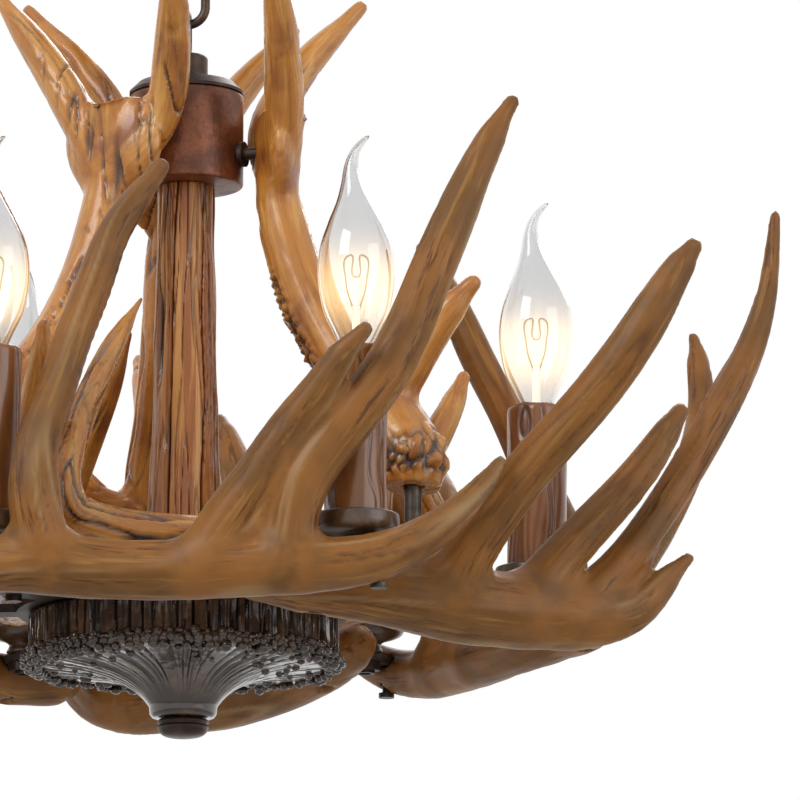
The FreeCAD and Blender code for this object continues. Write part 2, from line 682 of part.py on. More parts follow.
def bulb_shapes():
    """Contact button, threaded cap with the filament on its stem, and glass, on the axis."""
    low = cap_shell_bottom
    button = disc(contact_r, low - seat - contact_height, low - seat)

    first = low + thread_start
    root_r = bulb_cap_r - thread_depth
    outline = [(0, low), (contact_r + thread_depth, low),
               (bulb_cap_r - 2 * thread_depth, first - thread_depth)]
    for k in range(thread_turns):
        z = first + k * thread_pitch
        outline += [(root_r, z), (bulb_cap_r, z + thread_pitch / 2)]
    outline += [(root_r, first + thread_turns * thread_pitch),
                (bulb_cap_r, glass_bottom - 4 * thread_depth),
                (bulb_cap_r, glass_bottom - seat), (0, glass_bottom - seat)]
    shell = lathe(outline)

    foot = glass_bottom + seat / 3
    stem = lathe([(0, foot), (mount_r, foot), (mount_r, foot + mount_neck_r),
                  (mount_neck_r, foot + mount_r), (mount_neck_r, foot + mount_height),
                  (0, foot + mount_height)])
    wires = [stem]
    spots = [Vec(x, y, foot + z) for x, y, z in filament_path]
    for start, end in zip(spots[:-1], spots[1:]):
        way = end - start
        wires.append(Part.makeCylinder(filament_r, way.Length, start, way))
    filament = joined(wires)

    body = [(x, share * glass_belly_rise, size) for x, share, size in glass_body]
    tip = [(x, share * glass_length, size) for x, share, size in glass_tip]
    neck = (0.0, 0.0, (glass_neck_r - thread_depth) / glass_belly_r)
    shape = [(x, 0, glass_bottom + rise, size * glass_belly_r)
             for x, rise, size in [neck] + body + tip]
    core = [(x, y, z, radius - glass_wall) for x, y, z, radius in shape[:len(body) + 2]]
    core[0] = (0, 0, glass_bottom - glass_wall, core[0][3])
    glass = branch(shape).cut(branch(core))
    return button, shell, filament, glass


def lamps():
    nipple, nut, cup, holder, sleeve = lamp_shapes()
    button, shell, filament, glass = bulb_shapes()
    groups = {"lamp_nipples": nipple, "lamp_nuts": nut, "drip_cups": cup,
              "lamp_sockets": holder, "candle_sleeves": sleeve}
    places = [polar(lamp_ring_r, arm_turn + 60 * k) for k in range(lamp_count)]
    for name, shape in groups.items():
        hang(name, Part.makeCompound(
            [moved(turned(shape, arm_turn + 60 * k), x, y) for k, (x, y) in enumerate(places)]))
    for k, (x, y) in enumerate(places):
        turn = tail_turns[k]
        hang("bulb_contact_%d" % (k + 1), moved(button, x, y))
        hang("bulb_cap_%d" % (k + 1), Part.makeCompound(
            [moved(turned(shell, turn), x, y), moved(turned(filament, turn + 30), x, y)]))
        hang("bulb_glass_%d" % (k + 1), moved(turned(glass, turn), x, y))


ceiling_fittings()
hub_and_column()
antlers()
spider()
burr()
lamps()
print("foot level %.1f mm below the ceiling, bottom %.1f mm" %
      (foot_z, foot_z + finial_top - finial_height))
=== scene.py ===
import bpy
import math
import random
import numpy as np
from mathutils import Matrix, Vector, noise


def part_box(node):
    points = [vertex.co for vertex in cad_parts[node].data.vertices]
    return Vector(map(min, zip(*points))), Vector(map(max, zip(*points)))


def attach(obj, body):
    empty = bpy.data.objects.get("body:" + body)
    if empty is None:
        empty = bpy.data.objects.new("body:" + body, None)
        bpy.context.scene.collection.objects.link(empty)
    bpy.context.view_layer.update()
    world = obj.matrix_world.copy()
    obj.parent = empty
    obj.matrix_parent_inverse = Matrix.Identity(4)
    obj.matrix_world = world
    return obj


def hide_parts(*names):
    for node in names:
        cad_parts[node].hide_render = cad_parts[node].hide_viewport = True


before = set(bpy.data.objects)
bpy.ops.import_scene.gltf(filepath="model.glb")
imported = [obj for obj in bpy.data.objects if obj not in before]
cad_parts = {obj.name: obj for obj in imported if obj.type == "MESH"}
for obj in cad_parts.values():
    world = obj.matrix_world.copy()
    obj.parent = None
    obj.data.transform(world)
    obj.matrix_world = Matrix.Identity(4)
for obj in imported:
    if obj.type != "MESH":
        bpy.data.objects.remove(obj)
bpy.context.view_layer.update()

# Six-light antler chandelier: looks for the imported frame. Metres, same frame as the solids.
mm = 0.001
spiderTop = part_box("spider_plate")[1].z
footLevel = spiderTop + 42 * mm  # level that the antlers' stations are measured from
lampRing = 165 * mm
lampCount = 6
firstArm = -0.5  # azimuth of the first lamp, degrees
thirdTurn = 120
stemBore = 6.9  # mm, hole for the stem in every piece that is threaded on it
print("frame loaded, foot level", round(footLevel, 4))


# small tools
def deselect():
    if bpy.context.mode != "OBJECT":
        bpy.ops.object.mode_set(mode="OBJECT")
    bpy.ops.object.select_all(action="DESELECT")


def pick(piece):
    deselect()
    piece.select_set(True)
    bpy.context.view_layer.objects.active = piece


def applyAll(piece):
    pick(piece)
    for modifier in list(piece.modifiers):
        bpy.ops.object.modifier_apply(modifier=modifier.name)


def readPoints(piece, what="co"):
    values = np.empty(len(piece.data.vertices) * 3)
    piece.data.vertices.foreach_get(what, values)
    return values.reshape(-1, 3)


def writePoints(piece, points):
    piece.data.vertices.foreach_set("co", np.ascontiguousarray(points).ravel())
    piece.data.update()


def storeValues(piece, name, values, kind="FLOAT"):
    layer = piece.data.attributes.get(name) or piece.data.attributes.new(name, kind, "POINT")
    layer.data.foreach_set("value" if kind == "FLOAT" else "vector", values.ravel())


def smoothAll(piece, angle=180):
    pick(piece)
    if angle >= 180:
        bpy.ops.object.shade_smooth()
    else:
        bpy.ops.object.shade_smooth_by_angle(angle=math.radians(angle))


def rename(piece, name):
    piece.name = name
    piece.data.name = name
    return piece


def copyOf(piece, name, matrix):
    # a copy with its own mesh, moved in its mesh so that the object stays at the origin
    twin = piece.copy()
    twin.data = piece.data.copy()
    bpy.context.scene.collection.objects.link(twin)
    twin.data.transform(matrix)
    return rename(twin, name)


def joinAll(pieces, name):
    deselect()
    for piece in pieces:
        piece.select_set(True)
    bpy.context.view_layer.objects.active = pieces[0]
    bpy.ops.object.join()
    return rename(pieces[0], name)


def around(degrees):
    return Matrix.Rotation(math.radians(degrees), 4, "Z")


def onCircle(radius, angle):
    return radius * math.cos(angle), radius * math.sin(angle)


def lampPlace(k):
    return Vector((*onCircle(lampRing, math.radians(firstArm + 360 / lampCount * k)), 0))


def noiseAt(points, scale, seed=0.0, ridged=False):
    # smooth noise from -1 to 1 at each point; ridged gives sharp valleys at 0 instead
    shift = np.array([seed * 7.31, seed * 3.17, seed * 5.93])
    spots = points * np.asarray(scale) + shift
    values = np.array([noise.noise(Vector(spot)) for spot in spots])
    return np.abs(values) * 2 if ridged else values


def ease(values, low, high):
    share = np.clip((values - low) / (high - low), 0, 1)
    return share * share * (3 - 2 * share)


def span(values, marks):
    # 0 outside the first and last of the four marks, 1 between the middle two
    rise, full, fall, gone = marks
    return ease(values, rise, full) * (1 - ease(values, fall, gone))


def cracksAt(points, scale, seed, low, high):
    # 1 along the valleys of the ridged noise, 0 on the land between them
    return 1 - ease(noiseAt(points, scale, seed, ridged=True), low, high)


def splineAt(a, b, c, d, t):
    # smooth run from b to c, which also looks at the knots before and after
    return 0.5 * (2 * b + (c - a) * t + (2 * a - 5 * b + 4 * c - d) * t ** 2 +
                  (3 * b - a - 3 * c + d) * t ** 3)


def spinProfile(name, profile, steps):
    # a lathe by hand: a run of vertices in the XZ plane, extruded one by one, then spun round Z
    bpy.ops.mesh.primitive_plane_add(size=1 * mm, location=(0, 0, 0))
    piece = bpy.context.object
    bpy.ops.object.mode_set(mode="EDIT")
    bpy.ops.mesh.merge(type="CENTER")
    bpy.ops.transform.translate(value=(profile[0][0], 0, profile[0][1]))
    for (r0, z0), (r1, z1) in zip(profile[:-1], profile[1:]):
        bpy.ops.mesh.extrude_vertices_move(
            TRANSFORM_OT_translate={"value": (r1 - r0, 0, z1 - z0)})
    bpy.ops.mesh.select_all(action="SELECT")
    bpy.ops.mesh.spin(steps=steps, angle=math.tau, center=(0, 0, 0), axis=(0, 0, 1))
    bpy.ops.mesh.select_all(action="SELECT")
    bpy.ops.mesh.remove_doubles(threshold=0.002 * mm)
    bpy.ops.mesh.normals_make_consistent(inside=False)
    bpy.ops.object.mode_set(mode="OBJECT")
    return rename(piece, name)


def denseRun(corners, gap):
    # the outline again with points no further apart than gap
    run = [corners[0]]
    for (r0, z0), (r1, z1) in zip(corners[:-1], corners[1:]):
        count = max(1, math.ceil(math.hypot(r1 - r0, z1 - z0) / gap))
        for k in range(1, count + 1):
            run.append((r0 + (r1 - r0) * k / count, z0 + (z1 - z0) * k / count))
    return run


# shader tools
class Signal:
    # a value, colour or vector on its way through a shader, so that sums can be written as sums
    def __init__(self, finish, socket):
        self.finish = finish
        self.socket = socket

    def math(self, operation, first, second):
        return self.finish.node("Math", {"operation": operation}, {0: first, 1: second})

    def __add__(self, other):
        return self.math("ADD", self, other)

    def __radd__(self, other):
        return self.math("ADD", other, self)

    def __sub__(self, other):
        return self.math("SUBTRACT", self, other)

    def __rsub__(self, other):
        return self.math("SUBTRACT", other, self)

    def __mul__(self, other):
        return self.math("MULTIPLY", self, other)

    def __rmul__(self, other):
        return self.math("MULTIPLY", other, self)


class Finish:
    def __init__(self, name, **fixed):
        self.material = bpy.data.materials.new(name)
        self.material.use_nodes = True
        self.tree = self.material.node_tree
        self.shader = self.tree.nodes["Principled BSDF"]
        for socket, value in fixed.items():
            self.shader.inputs[socket.replace("_", " ")].default_value = value

    def node(self, kind, settings=None, inputs=None, output=0):
        made = self.tree.nodes.new("ShaderNode" + kind)
        for key, value in (settings or {}).items():
            setattr(made, key, value)
        for key, value in (inputs or {}).items():
            self.feed(made.inputs[key], value)
        return Signal(self, made.outputs[output])

    def feed(self, socket, value):
        if isinstance(value, Signal):
            self.tree.links.new(value.socket, socket)
        else:
            socket.default_value = value

    def place(self):
        return self.node("TexCoord", output=3)

    def attribute(self, name, vector=False):
        return self.node("Attribute", {"attribute_name": name}, output=1 if vector else 2)

    def grain(self, vector, scale, detail=3.0, rough=0.5, twist=0.0):
        return self.node("TexNoise", None, {"Vector": vector, "Scale": scale, "Detail": detail,
                                            "Roughness": rough, "Distortion": twist})

    def fibres(self, vector, scale, detail=3, rough=0.6, twist=0.0):
        # grain drawn out along one way, by a scale for each of the three
        drawn = self.node("VectorMath", {"operation": "MULTIPLY"}, {0: vector, 1: scale})
        return self.grain(drawn, 1.0, detail, rough, twist)

    def band(self, value, low, high):
        # 0 below low, 1 above high, smooth between
        return self.node("MapRange", {"interpolation_type": "SMOOTHSTEP"},
                         {0: value, 1: low, 2: high})

    def mix(self, amount, first, second):
        return self.node("Mix", {"data_type": "RGBA"}, {0: amount, 6: first, 7: second}, 2)

    def patches(self, value, low, high, first, second, most=1.0):
        # the second colour over the first where the value is high
        amount = self.band(value, low, high)
        return self.mix(amount if most == 1.0 else amount * most, first, second)

    def bump(self, height, distance, strength):
        # distance in millimetres
        inputs = {"Height": height, "Distance": distance * mm, "Strength": strength}
        return self.node("Bump", None, inputs)

    def done(self, **sockets):
        for socket, value in sockets.items():
            self.feed(self.shader.inputs[socket.replace("_", " ")], value)
        return self.material


def shade(piece, material):
    piece.data.materials.clear()
    piece.data.materials.append(material)


def stand(piece, body, material, slot, *nodes):
    # a finished piece: what it is made of, what it moves with, and the solids that it stands for
    shade(piece, material)
    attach(piece, body)
    if nodes:
        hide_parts(*nodes)


# finishes of the antlers
matteAntlerLook = {
    "base": (0.335, 0.134, 0.029, 1), "pale": (0.48, 0.240, 0.068, 1),
    # the dark streak colour serves the flecks, and the painted shade in the grooves
    "olive": (0.195, 0.086, 0.021, 1), "streakAndShade": (0.085, 0.026, 0.009, 1),
    # ridge: a painted highlight along the ridge lines
    "ridge": (0.47, 0.31, 0.145, 1), "tip": (0.165, 0.060, 0.020, 1), "rough": 0.42,
}
glossAntlerLook = {
    "base": (0.62, 0.245, 0.040, 1), "pale": (0.82, 0.45, 0.125, 1),
    # deep: painted shade in the cracks
    "deep": (0.030, 0.009, 0.004, 1), "rust": (0.33, 0.100, 0.020, 1), "rough": 0.27,
}


def matteAntler():
    look = matteAntlerLook
    finish = Finish("antlerMatte", IOR=1.45, Specular_IOR_Level=0.32)
    flow = finish.attribute("flow", vector=True)
    depth = finish.attribute("depth")
    ridge = finish.attribute("ridge")
    join = finish.attribute("join")
    tip = finish.attribute("tip")
    broad = finish.grain(flow, 22, 3, 0.55)
    streaks = finish.fibres(flow, (260, 260, 14), 4, 0.6, 0.4)
    hairs = finish.fibres(flow, (1100, 1100, 45))
    colour = finish.patches(broad, 0.36, 0.62, look["olive"], look["base"])
    colour = finish.patches(streaks, 0.52, 0.70, colour, look["pale"], 0.55)
    places = finish.fibres(flow, (60, 60, 9))
    flecks = finish.fibres(flow, (420, 420, 36), 4, 0.7)
    dark = finish.band(flecks, 0.50, 0.62) * finish.band(places, 0.46, 0.58)
    colour = finish.mix(dark * 0.8, colour, look["streakAndShade"])
    colour = finish.patches(hairs, 0.45, 0.75, colour, look["olive"], 0.25)
    # the grooves painted darker: painted shade
    colour = finish.mix(depth * 0.55, colour, look["streakAndShade"])
    # the ridge lines painted paler: a painted highlight
    colour = finish.mix(ridge * 0.6, colour, look["ridge"])
    cloud = finish.grain(finish.place(), 45, 4, 0.6)
    plain = finish.patches(cloud, 0.36, 0.62, look["olive"], look["base"])
    colour = finish.mix(join, colour, plain)
    colour = finish.mix(tip * 0.6, colour, look["tip"])
    rough = look["rough"] + (streaks - 0.5) * 0.25 * (1 - join)
    height = (hairs * 0.5 + streaks) * (1 - join)
    return finish.done(Base_Color=colour, Roughness=rough,
                       Normal=finish.bump(height, 0.25, 0.6))


def glossAntler():
    look = glossAntlerLook
    finish = Finish("antlerGloss", IOR=1.5, Coat_Roughness=0.08)
    flow = finish.attribute("flow", vector=True)
    depth = finish.attribute("depth")
    join = finish.attribute("join")
    tip = finish.attribute("tip")
    broad = finish.grain(flow, 26, 3, 0.55)
    streaks = finish.fibres(flow, (200, 200, 16), 4, 0.65, 0.6)
    hairs = finish.fibres(flow, (900, 900, 60))
    colour = finish.patches(broad, 0.30, 0.52, look["rust"], look["base"])
    colour = finish.patches(streaks, 0.48, 0.68, colour, look["pale"], 0.75)
    colour = finish.patches(1 - streaks, 0.56, 0.70, colour, look["rust"], 0.5)
    cloud = finish.grain(finish.place(), 60, 4, 0.6)
    plain = finish.patches(cloud, 0.34, 0.62, look["rust"], look["base"])
    colour = finish.mix(join, colour, plain)
    # the cracks painted dark: painted shade
    colour = finish.mix(depth, colour, look["deep"])
    colour = finish.mix(tip * 0.35, colour, look["rust"])
    rough = look["rough"] + (hairs - 0.5) * 0.2
    return finish.done(Base_Color=colour, Roughness=rough, Coat_Weight=0.22 + depth * 0.3,
                       Normal=finish.bump((streaks + hairs * 0.4) * (1 - join), 0.3, 0.6))


# antlers
# stations along each branch: x, y, height above the foot level and radius, all in millimetres
lowAntler = {
    "beam": [(-118, -148, -47, 15), (-107, -156, -50, 13), (-93, -163, -51, 12.5),
             (-64, -165, -50, 13.5), (-47, -163, -51, 14), (-20, -163, -53, 13),
             (8, -165, -53, 13), (34, -168, -52, 13), (57, -170, -52, 12.5),
             (76, -169, -51, 11.5), (93, -166, -47, 10.5), (109, -161, -39, 9),
             (126, -154, -26, 7), (140, -147, -10, 4.5), (146, -144, -1, 2.8)],
    "tineLeft": [(-55, -165, -48, 12), (-62, -169, -20, 12), (-61, -166, 4, 10),
                 (-54, -157, 28, 8.8), (-46, -147, 57, 8.3), (-38, -138, 81, 8.3),
                 (-28, -129, 110, 7.8), (-18, -126, 126, 6.5), (-8, -125, 140, 3.8)],
    "tineShort": [(10, -165, -52, 12), (26, -169, -29, 12), (40, -173, -9, 10.5),
                  (52, -177, 10, 8.8), (65, -181, 26, 8), (75, -185, 40, 6.5),
                  (85, -189, 51, 3.6)],
    "tineLong": [(53, -170, -53, 12), (53, -172, -36, 11), (59, -173, -14, 11.5),
                 (79, -172, 14, 11.3), (99, -168, 44, 11.2), (114, -158, 82, 10.3),
                 (128, -148, 118, 9), (142, -140, 150, 6.5), (152, -136, 168, 3.5)],
}
spreadAntler = {
    "beam": [(36, -112, -47, 11), (56, -112, -50, 13.5), (83, -112, -53, 14.5),
             (110, -106, -56, 16), (137, -94, -58, 17), (165, -78, -59, 16),
             (188, -67, -60, 12.5), (207, -60, -55, 9.5), (222, -54, -41, 6.5),
             (234, -50, -28, 3)],
    "tineTall": [(122, -104, -52, 13), (137, -114, -29, 11), (156, -126, -4, 10.5),
                 (177, -136, 19, 10.5), (199, -144, 45, 10.3), (216, -146, 71, 9.3),
                 (228, -146, 91, 6.5), (233, -146, 98, 4)],
    "tineNear": [(156, -84, -59, 13), (172, -80, -36, 10.5), (193, -76, -12, 9),
                 (211, -72, 9, 8), (224, -68, 29, 6), (230, -66, 38, 3.5)],
    "tineFar": [(177, -72, -58, 12), (199, -64, -37, 9.3), (218, -56, -11, 8.5),
                (236, -46, 19, 8.5), (252, -38, 49, 8.3), (265, -31, 76, 7),
                (273, -25, 104, 5), (276, -21, 128, 3.6), (277, -20, 140, 3)],
    "tineBack": [(190, -62, -56, 10), (213, -44, -26, 8), (229, -18, 5, 7.5),
                 (239, 2, 33, 7), (243, 15, 59, 6.3), (242, 24, 80, 5.3), (240, 29, 92, 3)],
}
uprightAntler = {
    "beam": [(107, -43, 6, 13.5), (105, -41, 20, 16.5), (97, -38, 37, 16.5),
             (79, -30, 62, 13.5), (60, -22, 95, 12.5), (47, -17, 132, 12),
             (42.5, -15.5, 163, 10.2), (44, -14, 184, 12), (47, -12, 198, 11)],
    "brow": [(94, -38, 46, 12), (110, -42, 71, 9.5), (125, -46, 91, 7.5), (135, -48, 102, 4)],
    "spur": [(97, -33, 27, 7), (111, -15, 26, 8), (120, -5, 41, 7.2), (127, 2, 57, 5.5),
             (131, 5, 68, 3)],
    "forkLeft": [(44, -14, 158, 10), (39.5, 1, 172, 9.5), (38, 11, 186, 9.5), (46, 20, 208, 9),
                 (62, 31, 232, 7), (82, 42, 256, 3.5)],
    "forkRight": [(44, -15, 158, 10), (46, -24, 174, 9.5), (46.5, -32, 188, 9.5),
                  (46, -46, 210, 8.8), (44, -63, 232, 6.8), (40, -80, 252, 3.5)],
}
innerAntler = {
    "beam": [(88, -45, -29, 13.5), (72, -66, -30, 12), (48, -82, -30, 13), (14, -94, -29.5, 13.5),
             (-18, -104, -28, 13), (-38, -110, -23, 11.5), (-48, -112, -16, 9.5),
             (-50, -104, 7, 8.2), (-42, -84, 40, 7.5), (-29, -58, 75, 6), (-19, -42, 96, 3)],
}
antlerMake = {
    "voxel": {"low": 1.7, "spread": 1.7, "upright": 1.35, "inner": 1.35},  # mm
    "webPasses": 90,  # smoothing passes where tines leave the beam
    "skinPasses": 4,
    "lineStep": 2.0,  # mm between the points of a branch's middle line
    "chunk": 4000,  # points measured against a middle line at a time
    "leastRadius": 2.0,
    "branchShift": 0.37,  # keeps the patterns of the branches apart
    "tip": (0.86, 1.0),  # shares of the length between which the tips grow dark
    "webShare": (0.55, 0.95),  # nearness of the next branch at which a web begins and is full
    "leastWeight": 0.02,
    "mergeGap": 0.01,
    # branch, middle and half sizes of the webs that close narrow gaps between two branches
    "fills": [("forkLeft", (45.0, -12.0, 171.0), (9.0, 26.5, 28.0)),
              ("tineShort", (39.5, -171.0, -35.0), (8.0, 7.5, 10.0))],
}


def middleLine(stations):
    # the branch's smooth middle line: points, radii, lengths and a frame carried along it
    knots = np.array(stations, float) * mm
    knots[:, 2] += footLevel
    ends = np.vstack([2 * knots[0] - knots[1], knots, 2 * knots[-1] - knots[-2]])
    rows = []
    for k in range(len(knots) - 1):
        a, b, c, d = ends[k:k + 4]
        count = max(2, int(np.linalg.norm(c[:3] - b[:3]) / (antlerMake["lineStep"] * mm)))
        rows += [splineAt(a, b, c, d, j / count) for j in range(count)]
    rows.append(knots[-1])
    rows = np.array(rows)
    spots, radii = rows[:, :3], np.maximum(rows[:, 3], antlerMake["leastRadius"] * mm)
    tangents = np.gradient(spots, axis=0)
    tangents /= np.linalg.norm(tangents, axis=1)[:, None]
    sides = np.empty_like(spots)
    side = np.cross(tangents[0], (0.13, 0.21, 0.97))
    for k, tangent in enumerate(tangents):
        side = side - tangent * side.dot(tangent)
        side /= np.linalg.norm(side)
        sides[k] = side
    lengths = np.concatenate([[0], np.cumsum(np.linalg.norm(np.diff(spots, axis=0), axis=1))])
    return {"spots": spots, "radii": radii, "tangents": tangents, "sides": sides,
            "lengths": lengths}


def flowOf(points, branches):
    # for each point: where it lies along and round its nearest branch, how near the next one is
    best = np.full(len(points), 9.0)
    second = np.full(len(points), 9.0)
    flow = np.zeros((len(points), 3))
    which = np.zeros(len(points), int)
    share = np.zeros(len(points))
    for index, stations in enumerate(branches.values()):
        line = middleLine(stations)
        near = np.empty(len(points), int)
        for start in range(0, len(points), antlerMake["chunk"]):
            part = slice(start, start + antlerMake["chunk"])
            gaps = points[part, None, :] - line["spots"][None]
            size = np.linalg.norm(gaps, axis=2) / line["radii"][None]
            near[part] = size.argmin(axis=1)
        gap = points - line["spots"][near]
        along = (gap * line["tangents"][near]).sum(axis=1)
        side = line["sides"][near]
        other = np.cross(line["tangents"][near], side)
        size = np.linalg.norm(gap, axis=1) / line["radii"][near]
        closer = size < best
        second = np.where(closer, best, np.minimum(second, size))
        best = np.where(closer, size, best)
        here = np.stack([(gap * side).sum(axis=1), (gap * other).sum(axis=1),
                         line["lengths"][near] + along + index * antlerMake["branchShift"]],
                        axis=1)
        flow[closer] = here[closer]
        which[closer] = index
        share[closer] = (line["lengths"][near] / line["lengths"][-1])[closer]
    web = ease(best / second, *antlerMake["webShare"])
    return {"flow": flow, "which": which, "share": share, "web": web}


def fillCrotch(piece, spot, sizes):
    # a flattened ball of antler between two branches, merged with the rest by the remesh
    bpy.ops.mesh.primitive_uv_sphere_add(segments=40, ring_count=24, radius=1)
    ball = bpy.context.object
    x, y, z = spot
    place = Matrix.Translation((x * mm, y * mm, z * mm + footLevel))
    ball.data.transform(place @ Matrix.Diagonal([size * mm for size in sizes] + [1]))
    return joinAll([piece, ball], piece.name)


def lowerCrotch(piece, branches):
    # the beam's end is lowered into the palm, as a wide U between the prongs
    make = uprightMake
    points = readPoints(piece)
    onBeam = flowOf(points, branches)["which"] == 0
    soft = make["crotchSoft"] * mm
    aside = np.clip((points[:, 1] / mm - make["middle"]) / make["crotchHalf"], -1, 1)
    level = footLevel + (make["crotch"] + make["crotchRise"] * aside ** 2) * mm
    over = np.maximum(points[:, 2] - level, 0) * onBeam
    points[:, 2] += soft * (1 - np.exp(-over / soft)) - over
    writePoints(piece, points)


def antlerBody(name, node, branches, voxel):
    # starts from the solid: merged, remeshed, and smoothed most where the branches meet
    piece = bpy.data.objects.new(name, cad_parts[node].data.copy())
    bpy.context.scene.collection.objects.link(piece)
    for fork, spot, sizes in antlerMake["fills"]:
        if fork in branches:
            piece = fillCrotch(piece, spot, sizes)
    pick(piece)
    bpy.ops.object.mode_set(mode="EDIT")
    bpy.ops.mesh.select_all(action="SELECT")
    bpy.ops.mesh.remove_doubles(threshold=antlerMake["mergeGap"] * mm)
    bpy.ops.object.mode_set(mode="OBJECT")
    remesh = piece.modifiers.new("even", "REMESH")
    remesh.mode = "VOXEL"
    remesh.voxel_size = voxel * mm
    remesh.use_smooth_shade = True
    applyAll(piece)
    if "forkLeft" in branches:
        lowerCrotch(piece, branches)
    found = flowOf(readPoints(piece), branches)
    group = piece.vertex_groups.new(name="web")
    for k, weight in enumerate(found["web"]):
        if weight > antlerMake["leastWeight"]:
            group.add([k], float(weight), "REPLACE")
    web = piece.modifiers.new("web", "SMOOTH")
    web.vertex_group = "web"
    web.factor = 0.5
    web.iterations = antlerMake["webPasses"]
    skin = piece.modifiers.new("skin", "SMOOTH")
    skin.factor = 0.5
    skin.iterations = antlerMake["skinPasses"]
    applyAll(piece)
    piece.vertex_groups.clear()
    return piece


def carve(piece, branches, shape):
    # moves each point of the antler in or out, and keeps what the finish needs to know
    points = readPoints(piece)
    normals = readPoints(piece, "normal")
    found = flowOf(points, branches)
    push, marks = shape(points, found, normals)
    writePoints(piece, points + normals * push[:, None])
    storeValues(piece, "flow", found["flow"], "FLOAT_VECTOR")
    storeValues(piece, "join", found["web"])
    for name, values in marks.items():
        storeValues(piece, name, values)
    last = ease(found["share"], *antlerMake["tip"])
    last[found["which"] == 0] *= 1.0 if len(branches) == 1 else 0.6
    storeValues(piece, "tip", last * (0.5 + 0.5 * noiseAt(found["flow"], 90, 4.0)))


# heights and depths in millimetres
matteMake = {"flats": 0.55, "small": 0.16, "groove": 0.35, "ridge": 0.8, "web": 1.5}
crackedMake = {"lumps": 0.6, "deep": 1.5, "thin": 0.45, "least": 0.35,
               "end": (0.80, 0.97)}  # shares of the length between which the cracks run out


def matteShape(points, found, normals):
    # long flats that meet in ridges, soft grooves and a few pits; the ridge lines carry a painted
    # highlight
    make = matteMake
    flow = found["flow"]
    flats = noiseAt(flow, (70, 70, 13), 1.0)
    groove = cracksAt(flow, (160, 160, 10), 2.0, 0.0, 0.22)
    small = noiseAt(flow, (330, 330, 26), 3.0)
    ridge = cracksAt(flow, (62, 62, 5), 13.0, 0.0, 0.34)
    calm = 1 - found["web"]
    push = (make["flats"] * flats + make["small"] * small - make["groove"] * groove +
            make["ridge"] * ridge) * calm + make["web"] * found["web"]
    # pale colour along the ridge lines: a painted highlight
    ridgeHighlight = ridge ** 3 * ease(flats, -0.3, 0.3)
    # depth darkens the grooves in the finish: painted shade
    return push * mm, {"depth": groove * calm * ease(flats, -0.2, 0.4), "ridge": ridgeHighlight}


def crackedShape(points, found, normals):
    # long deep cracks that wander along the branch, with swollen ribs between them
    make = crackedMake
    flow = found["flow"]
    calm = 1 - found["web"]
    swayed = flow + noiseAt(flow, (30, 30, 30), 5.0)[:, None] * np.array([[0.004, 0.003, 0]])
    lumps = noiseAt(flow, (60, 60, 22), 8.0)
    zone = ease(noiseAt(flow, (24, 24, 9), 9.0), -0.25, 0.30)
    deep = cracksAt(swayed, (110, 110, 12), 6.0, 0.02, 0.26)
    deep = deep * (make["least"] + (1 - make["least"]) * zone)
    thin = cracksAt(swayed, (240, 240, 30), 7.0, 0.0, 0.20) * zone
    end = (1 - ease(found["share"], *make["end"])) * calm
    push = make["lumps"] * lumps * calm - make["deep"] * deep * end - make["thin"] * thin * end
    # depth darkens the cracks in the finish: painted shade
    return push * mm, {"depth": np.clip(deep * 0.95 + thin * 0.5, 0, 1) * end}


uprightMake = {
    "smoothSide": (0.0, -1.0, 0.0),  # the side without cracks faces this way
    "crackShare": 0.88,  # how much of the cracks that side loses
    # the beam's end is lowered to this level between the prongs, and rises to each side as a U
    "middle": -12.0, "crotch": 184.0, "crotchSoft": 5.0, "crotchRise": 15.0, "crotchHalf": 20.0,
    "collar": (1.2, 7.0, 14.0, 30.0),  # lengths along the beam between which the foot is ragged
    "collarRise": 0.2, "beadRise": 2.6,
    "edge": (62.0, 76.0, 120.0, 134.0), "edgeRise": 1.7,  # ragged edge along the beam
    "edgeSide": (-0.87, -0.11, -0.48), "edgeWidth": (0.72, 0.95),
    "split": (128.0, 158.0, 204.0, 226.0),  # levels between which the palm is cracked
    "splitDepth": 2.1, "splitSway": 0.002,
}


def uprightShape(points, found, normals):
    # cracked like the inner antler on its back, smooth in front, with a ragged foot and edge
    make = uprightMake
    flow = found["flow"]
    push, marks = crackedShape(points, found, normals)
    depth = marks["depth"]
    onBeam = found["which"] == 0
    facing = (normals * np.array(make["smoothSide"])).sum(axis=1)
    calm = 1 - make["crackShare"] * ease(facing, -0.15, 0.45)
    push = push * calm
    depth = depth * calm
    length = flow[:, 2] / mm
    collar = onBeam * span(length, make["collar"])
    beads = noiseAt(flow, (190, 190, 150), 11.0, ridged=True)
    push = push + collar * (make["collarRise"] + make["beadRise"] * beads) * mm
    # dark between the beads of the foot: painted shade
    depth = np.maximum(depth, collar * (1 - ease(beads, 0.15, 0.6)))
    edge = onBeam * span(length, make["edge"])
    side = (normals * np.array(make["edgeSide"])).sum(axis=1)
    line = ease(side, *make["edgeWidth"]) * edge
    ragged = noiseAt(flow, (260, 260, 300), 12.0, ridged=True)
    push = push + line * make["edgeRise"] * ragged * mm
    # dark in the low parts of the ragged edge: painted shade
    depth = np.maximum(depth, line * (1 - ease(ragged, 0.1, 0.9)))
    level = (points[:, 2] - footLevel) / mm
    sway = noiseAt(points, 34, 15.0)[:, None] * make["splitSway"]
    splits = cracksAt(points + sway, (45, 135, 8), 14.0, 0.0, 0.26)
    splits = splits * span(level, make["split"]) * calm
    push = push - make["splitDepth"] * splits * mm
    # the palm's splits painted dark: painted shade
    depth = np.maximum(depth, splits * 0.95)
    return push, {"depth": depth}


